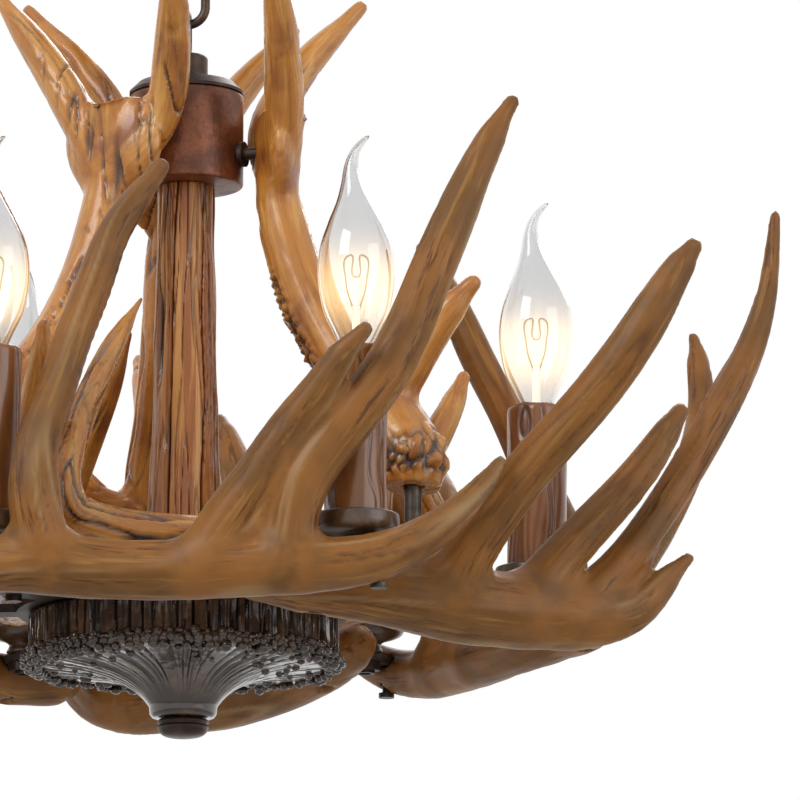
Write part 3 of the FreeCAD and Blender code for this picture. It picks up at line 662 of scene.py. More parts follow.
def antlers():
    matte, gloss = matteAntler(), glossAntler()
    kinds = {
        "low": (lowAntler, matteShape, matte, "antler_matte"),
        "spread": (spreadAntler, matteShape, matte, "antler_matte"),
        "upright": (uprightAntler, uprightShape, gloss, "antler_gloss"),
        "inner": (innerAntler, crackedShape, gloss, "antler_gloss"),
    }
    for kind, (branches, shape, material, slot) in kinds.items():
        node = kind + "_antler_"
        first = antlerBody(kind + "Antler1", node + "1", branches, antlerMake["voxel"][kind])
        carve(first, branches, shape)
        smoothAll(first)
        copies = [first] + [copyOf(first, kind + "Antler%d" % (k + 1), around(thirdTurn * k))
                            for k in (1, 2)]
        for k, piece in enumerate(copies):
            stand(piece, "fixture", material, slot, node + str(k + 1))
        print(kind, "antlers:", len(first.data.polygons), "faces each")


# tools for turned pieces
def levels(node):
    low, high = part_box(node)
    return low.z, high.z


def curvedRun(knots, per):
    # a smooth run of points through the knots, per points to each step
    ends = [2 * Vector(knots[0]) - Vector(knots[1])] + [Vector(k) for k in knots]
    ends.append(2 * Vector(knots[-1]) - Vector(knots[-2]))
    run = []
    for a, b, c, d in zip(ends[:-3], ends[1:-2], ends[2:-1], ends[3:]):
        run += [splineAt(a, b, c, d, j / per) for j in range(per)]
    run.append(Vector(knots[-1]))
    return [(max(0.0, spot[0]), spot[1]) for spot in run]


def scaled(run, lift=0.0):
    # millimetres to metres, lifted to its level
    return [(r * mm, z * mm + lift) for r, z in run]


def outward(points):
    flat = points * (1, 1, 0)
    return flat / np.maximum(np.linalg.norm(flat, axis=1), 1e-6)[:, None]


def wrapped(points, radius):
    # each point moved straight in or out to one radius, so that a pattern wraps evenly
    return outward(points) * radius * mm + points * (0, 0, 1)


def outerShare(points, reach):
    # 0 within the first radius, 1 outside the second, in millimetres
    return ease(np.hypot(points[:, 0], points[:, 1]), reach[0] * mm, reach[1] * mm)


def pushOut(piece, points, push):
    # push in millimetres, away from the axis
    writePoints(piece, points + outward(points) * (push * mm)[:, None])


def turnedPiece(name, profile, steps, angle=40):
    piece = spinProfile(name, profile, steps)
    smoothAll(piece, angle)
    return piece


def toLamp(piece, k):
    piece.data.transform(Matrix.Translation(lampPlace(k)))


# column of bark over the stem
columnMake = {"topRadius": 13.5, "footRadius": 19.2, "flare": 1.6, "steps": 200, "rows": 88,
              "patternRadius": 16, "grooves": 2.2, "cracks": 0.9, "lumps": 0.9, "skin": (9, 12)}
barkLook = {"base": (0.36, 0.125, 0.026, 1), "amber": (0.74, 0.34, 0.075, 1),
            # deep: painted shade in the grooves and cracks
            "red": (0.42, 0.125, 0.022, 1), "deep": (0.030, 0.010, 0.004, 1), "rough": 0.30}


def barkFinish():
    look = barkLook
    finish = Finish("barkResin", IOR=1.5, Coat_Roughness=0.10)
    place = finish.place()
    depth = finish.attribute("depth")
    streaks = finish.fibres(place, (210, 210, 8), 4, 0.65, 0.5)
    hairs = finish.fibres(place, (900, 900, 60))
    broad = finish.fibres(place, (48, 48, 16), 3, 0.5)
    colour = finish.patches(broad, 0.40, 0.60, look["base"], look["red"])
    colour = finish.patches(streaks, 0.42, 0.60, colour, look["amber"], 0.9)
    colour = finish.patches(hairs, 0.50, 0.72, colour, look["base"], 0.35)
    # grooves and cracks painted dark: painted shade
    colour = finish.mix(depth, colour, look["deep"])
    rough = look["rough"] + (hairs - 0.5) * 0.25
    return finish.done(Base_Color=colour, Roughness=rough, Coat_Weight=0.22 + depth * 0.3,
                       Normal=finish.bump(streaks + hairs * 0.5, 0.35, 0.7))


def barkColumn():
    make = columnMake
    low, high = levels("bark_column")
    profile = [(stemBore * mm, low)]
    for k in range(make["rows"] + 1):
        share = k / make["rows"]
        swell = (make["footRadius"] - make["topRadius"]) * (1 - share) ** make["flare"]
        profile.append(((make["topRadius"] + swell) * mm, low + (high - low) * share))
    profile += [(stemBore * mm, high), profile[0]]
    piece = spinProfile("barkColumn", profile, make["steps"])
    points = readPoints(piece)
    skin = wrapped(points, make["patternRadius"])
    swayed = skin + noiseAt(skin, (40, 40, 22), 21.0)[:, None] * np.array([[0.0016, 0.0016, 0]])
    grooves = cracksAt(swayed, (130, 130, 3.6), 22.0, 0.0, 0.26)
    cracks = cracksAt(swayed, (300, 300, 13), 23.0, 0.0, 0.26)
    lumps = noiseAt(skin, (90, 90, 34), 24.0)
    outer = outerShare(points, make["skin"])
    push = make["lumps"] * lumps - make["grooves"] * grooves - make["cracks"] * cracks
    pushOut(piece, points, push * outer)
    # depth darkens the grooves and cracks in the finish: painted shade
    storeValues(piece, "depth", np.clip(grooves * 0.9 + cracks * 0.5, 0, 1) * outer)
    smoothAll(piece, 60)
    stand(piece, "fixture", barkFinish(), "bark_resin", "bark_column")
    print("bark column:", len(piece.data.polygons), "faces")


# the burr: ribbed drum, beaded rim and fluted trumpet below
burrMake = {"radius": 72.4, "wall": 5.0, "steps": 560, "ribs": 1.8, "ribLumps": 0.5,
            "ribSkin": (68.5, 70), "rim": 72, "lipRadius": 73, "neck": 16.0, "lip": 5.5,
            "flareDrop": 19.0, "flutes": 1.15, "grit": 0.35, "rows": 42, "gap": 1.2,
            "foot": [(15.6, 2.0), (14.6, 0.6), (13, 0.0)]}  # radii and heights over the lowest point
# each row of beads: radius, drop below the top, number and size
beadMake = {"rows": [(71.6, -0.6, 96, 2.4), (73.4, -3.2, 92, 2.2), (71.6, -6.0, 86, 2.2),
                     (68.0, -6.8, 76, 1.9)],
            "jitter": 1.4, "knobs": 54, "knobRing": (40, 66), "knobSize": (1.0, 2.1), "seed": 7}
burrLook = {"base": (0.046, 0.024, 0.012, 1), "pale": (0.120, 0.066, 0.033, 1),
            # deep: painted shade in the drum's grooves and the trumpet's flutes, and the beads' own
            # darker tone
            "deep": (0.006, 0.004, 0.003, 1), "rough": 0.20}


def burrFinish():
    look = burrLook
    finish = Finish("burrResin", IOR=1.55, Coat_Roughness=0.12)
    place = finish.place()
    depth = finish.attribute("depth")
    specks = finish.grain(place, 420, 4, 0.65)
    broad = finish.grain(place, 60, 3, 0.5)
    colour = finish.patches(broad, 0.42, 0.62, look["base"], look["pale"])
    colour = finish.patches(specks, 0.46, 0.62, colour, look["base"], 0.5)
    # darker in the drum's grooves and the trumpet's flutes, painted shade; on the beads a darker
    # tone of their own
    colour = finish.mix(depth, colour, look["deep"])
    rough = look["rough"] + (specks - 0.5) * 0.3
    return finish.done(Base_Color=colour, Roughness=rough, Coat_Weight=0.75 - depth * 0.5,
                       Normal=finish.bump(specks, 0.25, 0.6))


def burrDrum(material):
    make = burrMake
    low, high = levels("burr_drum")
    inner = make["radius"] - make["wall"] - 2
    bore = stemBore * mm
    corners = [(bore, high), ((make["radius"] - 2.5) * mm, high),
               (make["radius"] * mm, high - 1.5 * mm), (make["radius"] * mm, low),
               (inner * mm, low), (inner * mm, high - make["wall"] * mm),
               (bore, high - make["wall"] * mm), (bore, high)]
    profile = corners[:2] + denseRun(corners[2:4], make["gap"] * mm) + corners[4:]
    piece = spinProfile("burrDrum", profile, make["steps"])
    points = readPoints(piece)
    skin = wrapped(points, make["radius"])
    groove = cracksAt(skin, (290, 290, 9), 31.0, 0.03, 0.46)
    lumps = noiseAt(skin, (260, 260, 120), 32.0)
    outer = outerShare(points, make["ribSkin"])
    pushOut(piece, points, (make["ribLumps"] * lumps - make["ribs"] * groove) * outer)
    # depth darkens the drum's grooves in the finish: painted shade
    storeValues(piece, "depth", groove * outer)
    smoothAll(piece, 60)
    stand(piece, "fixture", material, "burr_resin", "burr_drum")


def trumpetAt(radius):
    # height of the trumpet's skin at a radius, by the same curve as the solid's
    make = burrMake
    top = levels("burr_drum")[0] - 0.3 * mm - make["lip"] * mm
    least = make["neck"] / make["rim"]
    share = (make["neck"] / radius - least) / (1 - least)
    return top - make["flareDrop"] * mm * share


def burrTrumpet(material):
    make = burrMake
    low, high = levels("burr_plate")
    neck, rim, lip = make["neck"], make["rim"], make["lipRadius"]
    profile = [(stemBore * mm, high), (rim * mm, high), (lip * mm, high - 1 * mm),
               (lip * mm, high - 4.5 * mm)]
    for k in range(make["rows"] + 1):
        radius = rim * (neck / rim) ** (k / make["rows"])
        profile.append((radius * mm, trumpetAt(radius)))
    foot = scaled(make["foot"], low)
    profile += denseRun([(neck * mm, trumpetAt(neck)), foot[0]], make["gap"] * mm)[1:]
    profile += foot[1:] + [(stemBore * mm, low), (stemBore * mm, high)]
    piece = spinProfile("burrTrumpet", profile, make["steps"])
    points = readPoints(piece)
    normals = readPoints(piece, "normal")
    radius = np.hypot(points[:, 0], points[:, 1])
    rays = outward(points) * 0.1 + np.array([[0, 0, 1.0]]) * (radius * 0.6)[:, None]
    flutes = cracksAt(rays, (125, 125, 3), 33.0, 0.02, 0.40)
    under = (normals[:, 2] < 0.3) * ease(radius, 14 * mm, 26 * mm)
    under = under * ease(high - points[:, 2], 3 * mm, 6 * mm)
    fine = noiseAt(points, 330, 34.0)
    push = (make["grit"] * fine - make["flutes"] * flutes) * under * ease(radius, 14 * mm, 40 * mm)
    writePoints(piece, points + normals * (push * mm)[:, None])
    # depth darkens the flutes in the finish: painted shade
    storeValues(piece, "depth", flutes * under * 0.8)
    smoothAll(piece, 60)
    stand(piece, "fixture", material, "burr_resin", "burr_plate")


def oneBead():
    bpy.ops.mesh.primitive_cube_add(size=1.2)
    bead = bpy.context.object
    bpy.ops.object.mode_set(mode="EDIT")
    bpy.ops.mesh.subdivide(number_cuts=1, smoothness=1.0)
    bpy.ops.object.mode_set(mode="OBJECT")
    return bead


def burrBeads(material):
    # a few uneven rows of beads round the rim, and knobs strewn over the trumpet
    make = beadMake
    draw = random.Random(make["seed"])
    top = levels("burr_plate")[1]
    bead = oneBead()
    spots = []
    for radius, drop, count, size in make["rows"]:
        for k in range(count):
            turn = (k + draw.uniform(-0.35, 0.35)) / count * math.tau
            reach = radius + draw.uniform(-0.5, 0.5) * make["jitter"]
            level = top + (drop + draw.uniform(-0.5, 0.5) * make["jitter"]) * mm
            spots.append((reach, turn, level, size * draw.uniform(0.7, 1.25)))
    for k in range(make["knobs"]):
        reach = draw.uniform(*make["knobRing"])
        spots.append((reach, draw.uniform(0, math.tau), trumpetAt(reach),
                      draw.uniform(*make["knobSize"])))
    beads = []
    for reach, turn, level, size in spots:
        grow = Matrix.Diagonal([size * mm * draw.uniform(0.85, 1.3) for _ in range(3)] + [1])
        place = Matrix.Translation((*onCircle(reach * mm, turn), level))
        spin = Matrix.Rotation(draw.uniform(0, 3), 4, "Z")
        beads.append(copyOf(bead, "bead", place @ spin @ grow))
    bpy.data.objects.remove(bead)
    piece = joinAll(beads, "burrBeads")
    storeValues(piece, "depth", 0.35 + 0.3 * noiseAt(readPoints(piece), 150, 35.0))
    smoothAll(piece)
    stand(piece, "fixture", material, "burr_resin")
    print("burr with", len(spots), "beads:", len(piece.data.polygons), "faces")


# hub, canopy, finial: painted metal
metalLook = {
    "hub": {"base": (0.27, 0.082, 0.028, 1), "dark": (0.115, 0.034, 0.014, 1), "rough": 0.36,
            "metallic": 0.25, "dimple": 0.30},
    "bronze": {"base": (0.085, 0.050, 0.032, 1), "dark": (0.036, 0.022, 0.016, 1), "rough": 0.38,
               "metallic": 0.55, "dimple": 0.12},
    "plate": {"base": (0.070, 0.046, 0.032, 1), "dark": (0.030, 0.020, 0.015, 1), "rough": 0.48,
              "metallic": 0.35, "dimple": 0.10},
    "zinc": {"base": (0.46, 0.45, 0.43, 1), "dark": (0.24, 0.23, 0.21, 1), "rough": 0.32,
             "metallic": 1.0, "dimple": 0.05},
    "steel": {"base": (0.105, 0.085, 0.070, 1), "dark": (0.045, 0.036, 0.030, 1), "rough": 0.40,
              "metallic": 0.8, "dimple": 0.06},
    "brass": {"base": (0.72, 0.50, 0.20, 1), "dark": (0.42, 0.26, 0.09, 1), "rough": 0.28,
              "metallic": 1.0, "dimple": 0.04},
    "cap": {"base": (0.74, 0.72, 0.66, 1), "dark": (0.45, 0.42, 0.36, 1), "rough": 0.24,
            "metallic": 1.0, "dimple": 0.04},
    "holder": {"base": (0.075, 0.066, 0.060, 1), "dark": (0.038, 0.034, 0.031, 1), "rough": 0.5,
               "metallic": 0.0, "dimple": 0.08},
}


def metalFinish(kind):
    look = metalLook[kind]
    finish = Finish(kind + "Finish", Metallic=look["metallic"], IOR=1.5)
    place = finish.place()
    dimples = finish.grain(place, 520, 2, 0.5)
    cloud = finish.grain(place, 70, 4, 0.6)
    specks = finish.grain(place, 1500, 3, 0.6)
    colour = finish.patches(cloud, 0.38, 0.66, look["base"], look["dark"])
    colour = finish.patches(dimples, 0.52, 0.68, colour, look["dark"], 0.6)
    colour = finish.patches(specks, 0.56, 0.70, colour, look["dark"], 0.3)
    rough = look["rough"] + (cloud - 0.5) * 0.25 + (specks - 0.5) * 0.12
    return finish.done(Base_Color=colour, Roughness=rough,
                       Normal=finish.bump(dimples + specks * 0.25, look["dimple"], 0.8))


hubMake = {"radius": 27.0, "wall": 2.0, "floor": 3.0, "round": 1.4, "steps": 160}
canopyMake = {"radius": 60.0, "wall": 1.2, "crown": 22.0, "bore": 5.4, "curve": 16, "steps": 160}
finialMake = {"steps": 96, "high": 9.0,
              "outline": [(10.2, 9.0), (11.6, 8.4), (12.0, 7.2), (11.4, 6.2), (11.9, 5.0),
                          (11.2, 3.0), (9.0, 1.2), (5.2, 0.3), (0.0, 0.0)]}


def hubBody(material):
    make = hubMake
    low, high = levels("hub_drum")
    outer, inner, soft = make["radius"], make["radius"] - make["wall"], make["round"]
    floor = low + make["floor"] * mm
    corner = [(outer - soft + soft * math.sin(a), -soft * math.cos(a))
              for a in np.linspace(0, math.pi / 2, 5)]
    bore = stemBore * mm
    profile = [(bore, low)] + [(r * mm, low + (z + soft) * mm) for r, z in corner]
    profile += denseRun([(outer * mm, low + soft * mm), (outer * mm, high - soft * mm)], 4 * mm)[1:]
    profile += [((outer - 0.4) * mm, high - 0.3 * mm), ((outer - 0.9) * mm, high),
                (inner * mm, high), (inner * mm, floor), (bore, floor), (bore, low)]
    piece = turnedPiece("hubBody", profile, make["steps"])
    stand(piece, "fixture", material, "hub_paint", "hub_drum")


def canopyBowl(material):
    make = canopyMake
    low, high = levels("ceiling_canopy")
    depth = (high - low) / mm

    def shell(radius, drop):
        turns = np.linspace(0, math.pi / 2, make["curve"])
        return [(make["crown"] + (radius - make["crown"]) * math.sin(a), -drop * math.cos(a))
                for a in turns]
    outer = shell(make["radius"], depth)
    inner = shell(make["radius"] - make["wall"], depth - make["wall"])
    rim = [(make["radius"] - 0.3, 0.0), (make["radius"] - make["wall"] + 0.3, 0.0)]
    outline = [(make["bore"], -depth)] + outer[:-1] + [(make["radius"], -0.4)] + rim
    outline += inner[::-1][1:] + [(make["bore"], -depth + make["wall"]), (make["bore"], -depth)]
    piece = turnedPiece("canopyBowl", scaled(outline, high), make["steps"])
    stand(piece, "ceiling", material, "bronze_paint", "ceiling_canopy")


def finialKnob(material):
    make = finialMake
    outline = [(0.0, make["high"])] + curvedRun(make["outline"], 4)
    piece = turnedPiece("finialKnob", scaled(outline, levels("finial_nut")[0]), make["steps"])
    stand(piece, "fixture", material, "bronze_paint", "finial_nut")


def metalwork():
    hub, bronze, plate = metalFinish("hub"), metalFinish("bronze"), metalFinish("plate")
    steel, brass, holder = metalFinish("steel"), metalFinish("brass"), metalFinish("holder")
    hubBody(hub)
    canopyBowl(bronze)
    finialKnob(bronze)
    kept = {
        bronze: ["canopy_nut", "canopy_loop", "hub_loop", "hub_cap", "hub_bosses", "stem_pipe"] +
                ["chain_link_%d" % (k + 1) for k in range(4)],
        plate: ["spider_plate"],
        metalFinish("zinc"): ["ceiling_strap"],
        steel: ["upright_pins", "antler_screws", "lamp_nipples", "lamp_nuts"],
        holder: ["lamp_sockets"],
        brass: ["bulb_contact_%d" % (k + 1) for k in range(lampCount)],
    }
    for material, names in kept.items():
        for name in names:
            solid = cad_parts[name]
            solid.data.materials.clear()
            solid.data.materials.append(material)
    print("hub, canopy, finial and plain metal parts done")


# lamps: drip cups and bark candle sleeves
cupMake = {"steps": 120,
           "outline": [(5.3, 0.0), (8.2, 0.0), (9.0, 0.6), (8.3, 2.2), (7.7, 3.6), (8.6, 5.0),
                       (11.2, 6.3), (15.0, 7.3), (18.2, 8.9), (19.4, 11.6), (19.5, 15.4),
                       (19.3, 17.0), (18.7, 17.5), (18.1, 17.0), (17.9, 15.0), (17.4, 11.8),
                       (16.2, 9.8), (14.4, 8.6), (12.0, 8.15), (5.3, 8.0)]}
cupLook = {"base": (0.070, 0.037, 0.018, 1), "pale": (0.150, 0.082, 0.038, 1), "rough": 0.34}
sleeveMake = {"outer": 14.0, "inner": 12.0, "lip": 8.7, "lipDepth": 3.0, "steps": 132, "rows": 62,
              "skin": (12.2, 13.4), "grooves": 0.45, "lumps": 0.9,
              "knots": 4, "knotRise": 0.8, "knotSize": (3.4, 3.4, 4.6), "knotEnds": (12, 14),
              "ragged": 1.5, "raggedDepth": 9, "raggedSkin": (11.8, 12.6)}
sleeveLook = {"base": (0.215, 0.074, 0.022, 1), "amber": (0.36, 0.140, 0.037, 1),
              # deep: painted shade in the grooves
              "deep": (0.055, 0.019, 0.009, 1), "rough": 0.24}


def cupFinish():
    look = cupLook
    finish = Finish("cupResin", IOR=1.5, Coat_Weight=0.35, Coat_Roughness=0.15)
    place = finish.place()
    cloud = finish.grain(place, 120, 4, 0.6)
    specks = finish.grain(place, 900, 3, 0.6)
    colour = finish.patches(cloud, 0.42, 0.66, look["base"], look["pale"])
    colour = finish.patches(specks, 0.52, 0.68, colour, look["base"], 0.4)
    rough = look["rough"] + (specks - 0.5) * 0.2
    return finish.done(Base_Color=colour, Roughness=rough,
                       Normal=finish.bump(cloud + specks * 0.4, 0.2, 0.6))


def sleeveFinish():
    look = sleeveLook
    finish = Finish("sleeveResin", IOR=1.5, Coat_Roughness=0.08)
    place = finish.place()
    depth = finish.attribute("depth")
    streaks = finish.fibres(place, (110, 110, 20), 4, 0.6, 0.6)
    hairs = finish.fibres(place, (700, 700, 90))
    colour = finish.patches(streaks, 0.34, 0.70, look["base"], look["amber"], 0.8)
    colour = finish.patches(hairs, 0.50, 0.72, colour, look["base"], 0.25)
    # the grooves painted dark: painted shade
    colour = finish.mix(depth * 0.8, colour, look["deep"])
    rough = look["rough"] + (hairs - 0.5) * 0.2
    return finish.done(Base_Color=colour, Roughness=rough, Coat_Weight=0.3 + depth * 0.2,
                       Normal=finish.bump(streaks + hairs * 0.4, 0.2, 0.6))


def dripCups():
    low = levels("drip_cups")[0]
    outline = curvedRun(cupMake["outline"], 3) + [cupMake["outline"][0]]
    first = turnedPiece("dripCup1", scaled(outline, low), cupMake["steps"], 50)
    cups = [first] + [copyOf(first, "dripCup%d" % (k + 1), Matrix.Identity(4))
                      for k in range(1, lampCount)]
    material = cupFinish()
    for k, cup in enumerate(cups):
        toLamp(cup, k)
        stand(cup, "fixture", material, "cup_resin", "drip_cups")


def barkSleeve(blank, k):
    # each sleeve gets its own bark: soft grooves, a few knots and a ragged top
    make = sleeveMake
    low, high = levels("candle_sleeves")
    sleeve = copyOf(blank, "candleSleeve%d" % (k + 1), Matrix.Identity(4))
    points = readPoints(sleeve)
    seed = 41 + 5 * k
    skin = wrapped(points, make["outer"])
    outer = outerShare(points, make["skin"])
    sway = noiseAt(skin, (60, 60, 40), seed + 3)[:, None] * np.array([[0.004, 0.004, 0]])
    grooves = cracksAt(skin + sway, (75, 75, 8), seed, 0.0, 0.20)
    lumps = noiseAt(skin, (95, 95, 34), seed + 1)
    push = make["lumps"] * lumps - make["grooves"] * grooves
    draw = random.Random(seed)
    for _ in range(make["knots"]):
        turn = draw.uniform(0, math.tau)
        level = draw.uniform(low + make["knotEnds"][0] * mm, high - make["knotEnds"][1] * mm)
        knot = np.array((*onCircle(make["outer"] * mm, turn), level))
        gap = np.linalg.norm((skin - knot) / (np.array(make["knotSize"]) * mm), axis=1)
        push = push + make["knotRise"] * np.exp(-gap ** 2)
    edge = ease(points[:, 2], high - make["raggedDepth"] * mm, high)
    edge = edge * outerShare(points, make["raggedSkin"])
    points = points + outward(points) * (push * outer * mm)[:, None]
    points[:, 2] += noiseAt(skin, (95, 95, 0), seed + 2) * make["ragged"] * edge * mm
    writePoints(sleeve, points)
    # depth darkens the grooves in the finish: painted shade
    storeValues(sleeve, "depth", np.clip(grooves * 0.85, 0, 1) * outer)
    toLamp(sleeve, k)
    smoothAll(sleeve, 60)
    return sleeve


def candleSleeves():
    make = sleeveMake
    low, high = levels("candle_sleeves")
    tall = (high - low) / mm
    outer, inner = make["outer"], make["inner"]
    lip, under = make["lip"], tall - make["lipDepth"]
    side = denseRun([(outer, 0.0), (outer, tall - 2.4)], tall / make["rows"])
    top = [(outer - 0.5, tall - 0.9), (outer - 1.4, tall - 0.2), (inner - 0.6, tall),
           (lip + 0.4, tall - 0.1), (lip, tall - 0.6), (lip, under), (inner, under)]
    outline = [(inner, 0.0)] + side + top + [(inner, 0.0)]
    blank = spinProfile("sleeveBlank", scaled(outline, low), make["steps"])
    material = sleeveFinish()
    for k in range(lampCount):
        stand(barkSleeve(blank, k), "fixture", material, "sleeve_resin", "candle_sleeves")
    bpy.data.objects.remove(blank)
    print("six drip cups and bark sleeves done")


# bulbs: clear glass with a bent tip, glowing filament on its mount, threaded cap
bulbMake = {
    "glass": [(6.85, 0.0), (6.95, 1.6), (7.35, 4.1), (10.5, 11.1), (15.05, 21.5), (17.5, 37.0),
              (16.45, 50.3), (12.6, 61.4), (8.25, 71.0), (5.2, 79.2), (3.4, 87.2), (2.5, 92.8),
              (2.1, 97.4), (1.75, 100.3), (0.9, 101.9), (0.0, 102.1)],
    "bend": [(0, 0.0), (50, 0.0), (61.4, -0.3), (71, -0.9), (79.2, -1.9), (87.2, -2.4),
             (92.8, -1.4), (97.4, 1.1), (102.1, 5.2)],
    "wall": 0.8, "steps": 72, "tailTurns": [0, 140, 250, 75, 0, 10],
    "mount": [(0.0, 0.2), (5.0, 0.2), (5.2, 0.8), (5.1, 1.8), (3.4, 3.4), (2.2, 5.6), (1.8, 9.0),
              (1.7, 21.0), (1.9, 22.6), (1.2, 23.1), (0.0, 23.2)],
    "filament": [(-1.2, 0.0, 21), (-4.6, 0.0, 34), (-3.0, 2.2, 47), (0.0, -2.2, 36),
                 (3.0, 2.2, 47), (4.6, 0.0, 34), (1.2, 0.0, 21)],
    "wire": 0.42, "hot": (24, 36),  # heights between which the wire begins to glow
    "glowHeight": 31.0, "glowReach": (26.0, 15.0),
}
threadMake = {"root": 6.35, "crest": 6.9, "pitch": 2.82, "turns": 5, "first": 3.4, "steps": 96,
              "foot": 2.95, "rows": 0.35}
bulbLook = {"glass": (0.81, 0.81, 0.81, 1), "smoke": (0.77, 0.77, 0.78, 1),
            "glow": (1.0, 0.66, 0.30, 1), "dim": (0.0, 0.0, 0.0, 1),
            "glowStrength": 0.32, "wire": (1.0, 0.90, 0.66, 1), "wireStrength": 9.0,
            "cold": (0.35, 0.34, 0.32, 1), "mount": (0.82, 0.82, 0.80, 1),
            "mountPale": (0.93, 0.91, 0.86, 1), "mountGlow": (1.0, 0.80, 0.50, 1),
            "mountStrength": 1.2}


def glassFinish():
    look = bulbLook
    finish = Finish("bulbGlass", IOR=1.45, Roughness=0.0, Transmission_Weight=1.0,
                    Emission_Strength=look["glowStrength"])
    glow = finish.attribute("glow")
    smoke = finish.grain(finish.place(), 160, 2, 0.5)
    colour = finish.patches(smoke, 0.3, 0.7, look["glass"], look["smoke"], 0.25)
    return finish.done(Base_Color=colour,
                       Emission_Color=finish.mix(glow, look["dim"], look["glow"]))


def wireFinish():
    look = bulbLook
    finish = Finish("filamentWire", Roughness=0.4, Emission_Strength=look["wireStrength"])
    heat = finish.attribute("heat")
    colour = finish.mix(heat, look["cold"], look["wire"])
    return finish.done(Base_Color=colour,
                       Emission_Color=finish.mix(heat, look["dim"], look["wire"]))


def mountFinish():
    look = bulbLook
    finish = Finish("mountGlass", IOR=1.45, Roughness=0.08, Transmission_Weight=0.85,
                    Emission_Strength=look["mountStrength"])
    cloud = finish.grain(finish.place(), 300, 3, 0.6)
    colour = finish.patches(cloud, 0.4, 0.6, look["mount"], look["mountPale"])
    return finish.done(Base_Color=colour,
                       Emission_Color=finish.mix(cloud, look["dim"], look["mountGlow"]))


def glassShell():
    make = bulbMake
    glass = spinProfile("glassBlank", scaled(curvedRun(make["glass"], 5)), make["steps"])
    points = readPoints(glass)
    heights = points[:, 2] / mm
    away = 50  # keeps the run clear of the axis, where it would be cut off
    spots = np.array(curvedRun([(x + away, z) for z, x in make["bend"]], 8))
    points[:, 0] += (np.interp(heights, spots[:, 1], spots[:, 0]) - away) * mm
    writePoints(glass, points)
    flat, tall = make["glowReach"]
    gap = ((heights - make["glowHeight"]) / tall) ** 2 + (points[:, 0] / mm / flat) ** 2
    storeValues(glass, "glow", np.exp(-gap))
    wall = glass.modifiers.new("wall", "SOLIDIFY")
    wall.thickness = make["wall"] * mm
    wall.offset = -1
    applyAll(glass)
    smoothAll(glass, 70)
    return glass


def filamentWire():
    make = bulbMake
    line = bpy.data.curves.new("filamentLine", "CURVE")
    line.dimensions = "3D"
    run = line.splines.new("BEZIER")
    run.bezier_points.add(len(make["filament"]) - 1)
    for point, (x, y, z) in zip(run.bezier_points, make["filament"]):
        point.co = Vector((x, y, z)) * mm
        point.handle_left_type = point.handle_right_type = "AUTO"
    line.bevel_depth = make["wire"] * mm
    line.bevel_resolution = 3
    line.use_fill_caps = True
    wire = bpy.data.objects.new("filamentBlank", line)
    bpy.context.scene.collection.objects.link(wire)
    pick(wire)
    bpy.ops.object.convert(target="MESH")
    wire = bpy.context.object
    heights = readPoints(wire)[:, 2] / mm
    storeValues(wire, "heat", ease(heights, *make["hot"]))
    smoothAll(wire)
    return wire


def threadedCap(tall):
    make = threadMake
    crest, root = make["crest"], make["root"]
    corners = [(make["foot"], 0.0), (crest - 1.1, make["first"] - 0.9), (root, make["first"])]
    last = make["first"] + make["turns"] * make["pitch"]
    run = denseRun([(root, make["first"]), (root, last)], make["rows"])
    outline = [(0.0, 0.0)] + corners[:2] + run + [(crest, tall - 2.2), (crest, tall - 0.2),
                                                  (crest - 0.3, tall), (0.0, tall)]
    cap = spinProfile("capBlank", scaled(outline), make["steps"])
    points = readPoints(cap)
    turn = np.arctan2(points[:, 1], points[:, 0]) / math.tau
    rise = (points[:, 2] / mm - make["first"]) / make["pitch"]
    ends = ease(rise, 0.0, 0.5) * (1 - ease(rise, make["turns"] - 0.5, make["turns"]))
    wave = 0.5 - 0.5 * np.cos((rise - turn) * math.tau)
    skin = np.hypot(points[:, 0], points[:, 1]) > (root - 0.01) * mm
    points += outward(points) * (wave * ends * skin * (crest - root) * mm)[:, None]
    writePoints(cap, points)
    smoothAll(cap, 50)
    return cap


def bulbs():
    make = bulbMake
    mount = turnedPiece("mountBlank", scaled(curvedRun(make["mount"], 3)), 40)
    blanks = {"bulbGlass": glassShell(), "bulbFilament": filamentWire(), "bulbMount": mount,
              "bulbCap": threadedCap((levels("bulb_glass_1")[0] - levels("bulb_cap_1")[0]) / mm)}
    finishes = {"bulbGlass": (glassFinish(), "bulb_glass"),
                "bulbFilament": (wireFinish(), "bulb_glass"),
                "bulbMount": (mountFinish(), "bulb_glass"),
                "bulbCap": (metalFinish("cap"), "cap_metal")}
    for k in range(lampCount):
        number = str(k + 1)
        glassLow, capLow = levels("bulb_glass_" + number)[0], levels("bulb_cap_" + number)[0]
        for kind, blank in blanks.items():
            level = capLow if kind == "bulbCap" else glassLow
            turn = around(make["tailTurns"][k] if kind == "bulbGlass" else 0)
            place = Matrix.Translation(lampPlace(k) + Vector((0, 0, level)))
            piece = copyOf(blank, kind + number, place @ turn)
            node = ("bulb_glass_" if kind == "bulbGlass" else "bulb_cap_") + number
            stand(piece, "bulb_" + number, *finishes[kind], node)
    for blank in blanks.values():
        bpy.data.objects.remove(blank)
    print("six bulbs done")


# stage, light and camera
stageSet = {"floorDrop": 3.0, "floorSize": 14.0, "white": (1, 1, 1, 1), "air": 0.46,
            "floor": (0.8, 0.8, 0.8, 1)}
cameraSet = {"target": (0.101, 0.0, -0.3637), "distance": 3.5, "elevation": -11.0, "lens": 335.5}
lampSet = {  # places and sizes in metres, power in watts
    "key": {"at": (-1.6, -2.2, 1.5), "size": 1.6, "power": 44},
    "fill": {"at": (2.4, -1.6, 0.3), "size": 1.8, "power": 17},
    "back": {"at": (0.6, 2.2, 1.2), "size": 1.5, "power": 22},
}


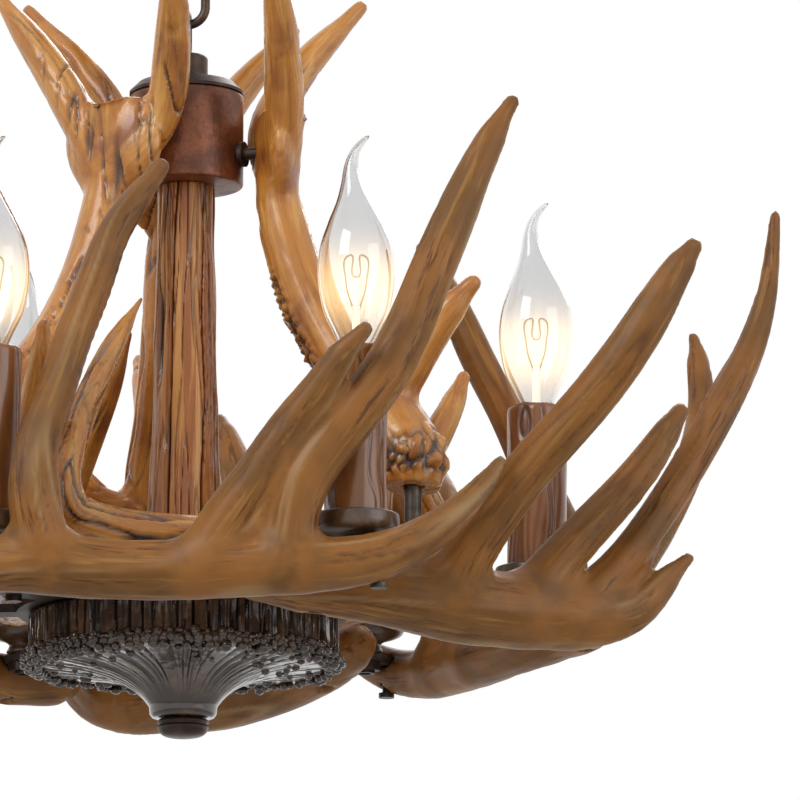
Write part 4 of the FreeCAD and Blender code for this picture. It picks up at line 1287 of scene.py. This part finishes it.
def whiteFloor():
    bpy.ops.mesh.primitive_plane_add(size=stageSet["floorSize"],
                                     location=(0, 0, -stageSet["floorDrop"]))
    floor = rename(bpy.context.object, "floor")
    floor.data.transform(floor.matrix_world)
    floor.matrix_world = Matrix.Identity(4)
    finish = Finish("floorPaint", Base_Color=stageSet["floor"], Roughness=0.9)
    floor.data.materials.append(finish.material)


def studioAir():
    # plain white where it is seen, mirrored or looked at through glass, and dimmer as light
    world = bpy.data.worlds.new("studio")
    bpy.context.scene.world = world
    world.use_nodes = True
    nodes, links = world.node_tree.nodes, world.node_tree.links
    air = nodes["Background"]
    air.inputs[0].default_value = stageSet["white"]
    air.inputs[1].default_value = stageSet["air"]
    seen = nodes.new("ShaderNodeBackground")
    seen.inputs[0].default_value = stageSet["white"]
    path = nodes.new("ShaderNodeLightPath")
    rays = path.outputs["Is Camera Ray"]
    for kind in ("Is Transmission Ray", "Is Glossy Ray"):
        either = nodes.new("ShaderNodeMath")
        either.operation = "MAXIMUM"
        links.new(rays, either.inputs[0])
        links.new(path.outputs[kind], either.inputs[1])
        rays = either.outputs[0]
    mixer = nodes.new("ShaderNodeMixShader")
    links.new(rays, mixer.inputs[0])
    links.new(air.outputs[0], mixer.inputs[1])
    links.new(seen.outputs[0], mixer.inputs[2])
    links.new(mixer.outputs[0], nodes["World Output"].inputs[0])


def studioLamps(target):
    for name, lamp in lampSet.items():
        light = bpy.data.lights.new(name, "AREA")
        light.size = lamp["size"]
        light.energy = lamp["power"]
        holder = bpy.data.objects.new(name, light)
        bpy.context.scene.collection.objects.link(holder)
        holder.location = lamp["at"]
        holder.rotation_euler = (target - holder.location).to_track_quat("-Z", "Y").to_euler()


def mainCamera(target):
    tilt = math.radians(cameraSet["elevation"])
    eye = bpy.data.cameras.new("camera")
    eye.lens = cameraSet["lens"]
    holder = bpy.data.objects.new("camera", eye)
    bpy.context.scene.collection.objects.link(holder)
    away = Vector((0, -math.cos(tilt), math.sin(tilt))) * cameraSet["distance"]
    holder.location = target + away
    holder.rotation_euler = (-away).to_track_quat("-Z", "Y").to_euler()
    bpy.context.scene.camera = holder


def studio():
    target = Vector(cameraSet["target"])
    whiteFloor()
    studioAir()
    studioLamps(target)
    mainCamera(target)
    bpy.context.scene.view_settings.view_transform = "Standard"
    print("stage, lamps and camera set")


studio()
antlers()
barkColumn()
burr = burrFinish()
burrDrum(burr)
burrTrumpet(burr)
burrBeads(burr)
metalwork()
dripCups()
candleSleeves()
bulbs()
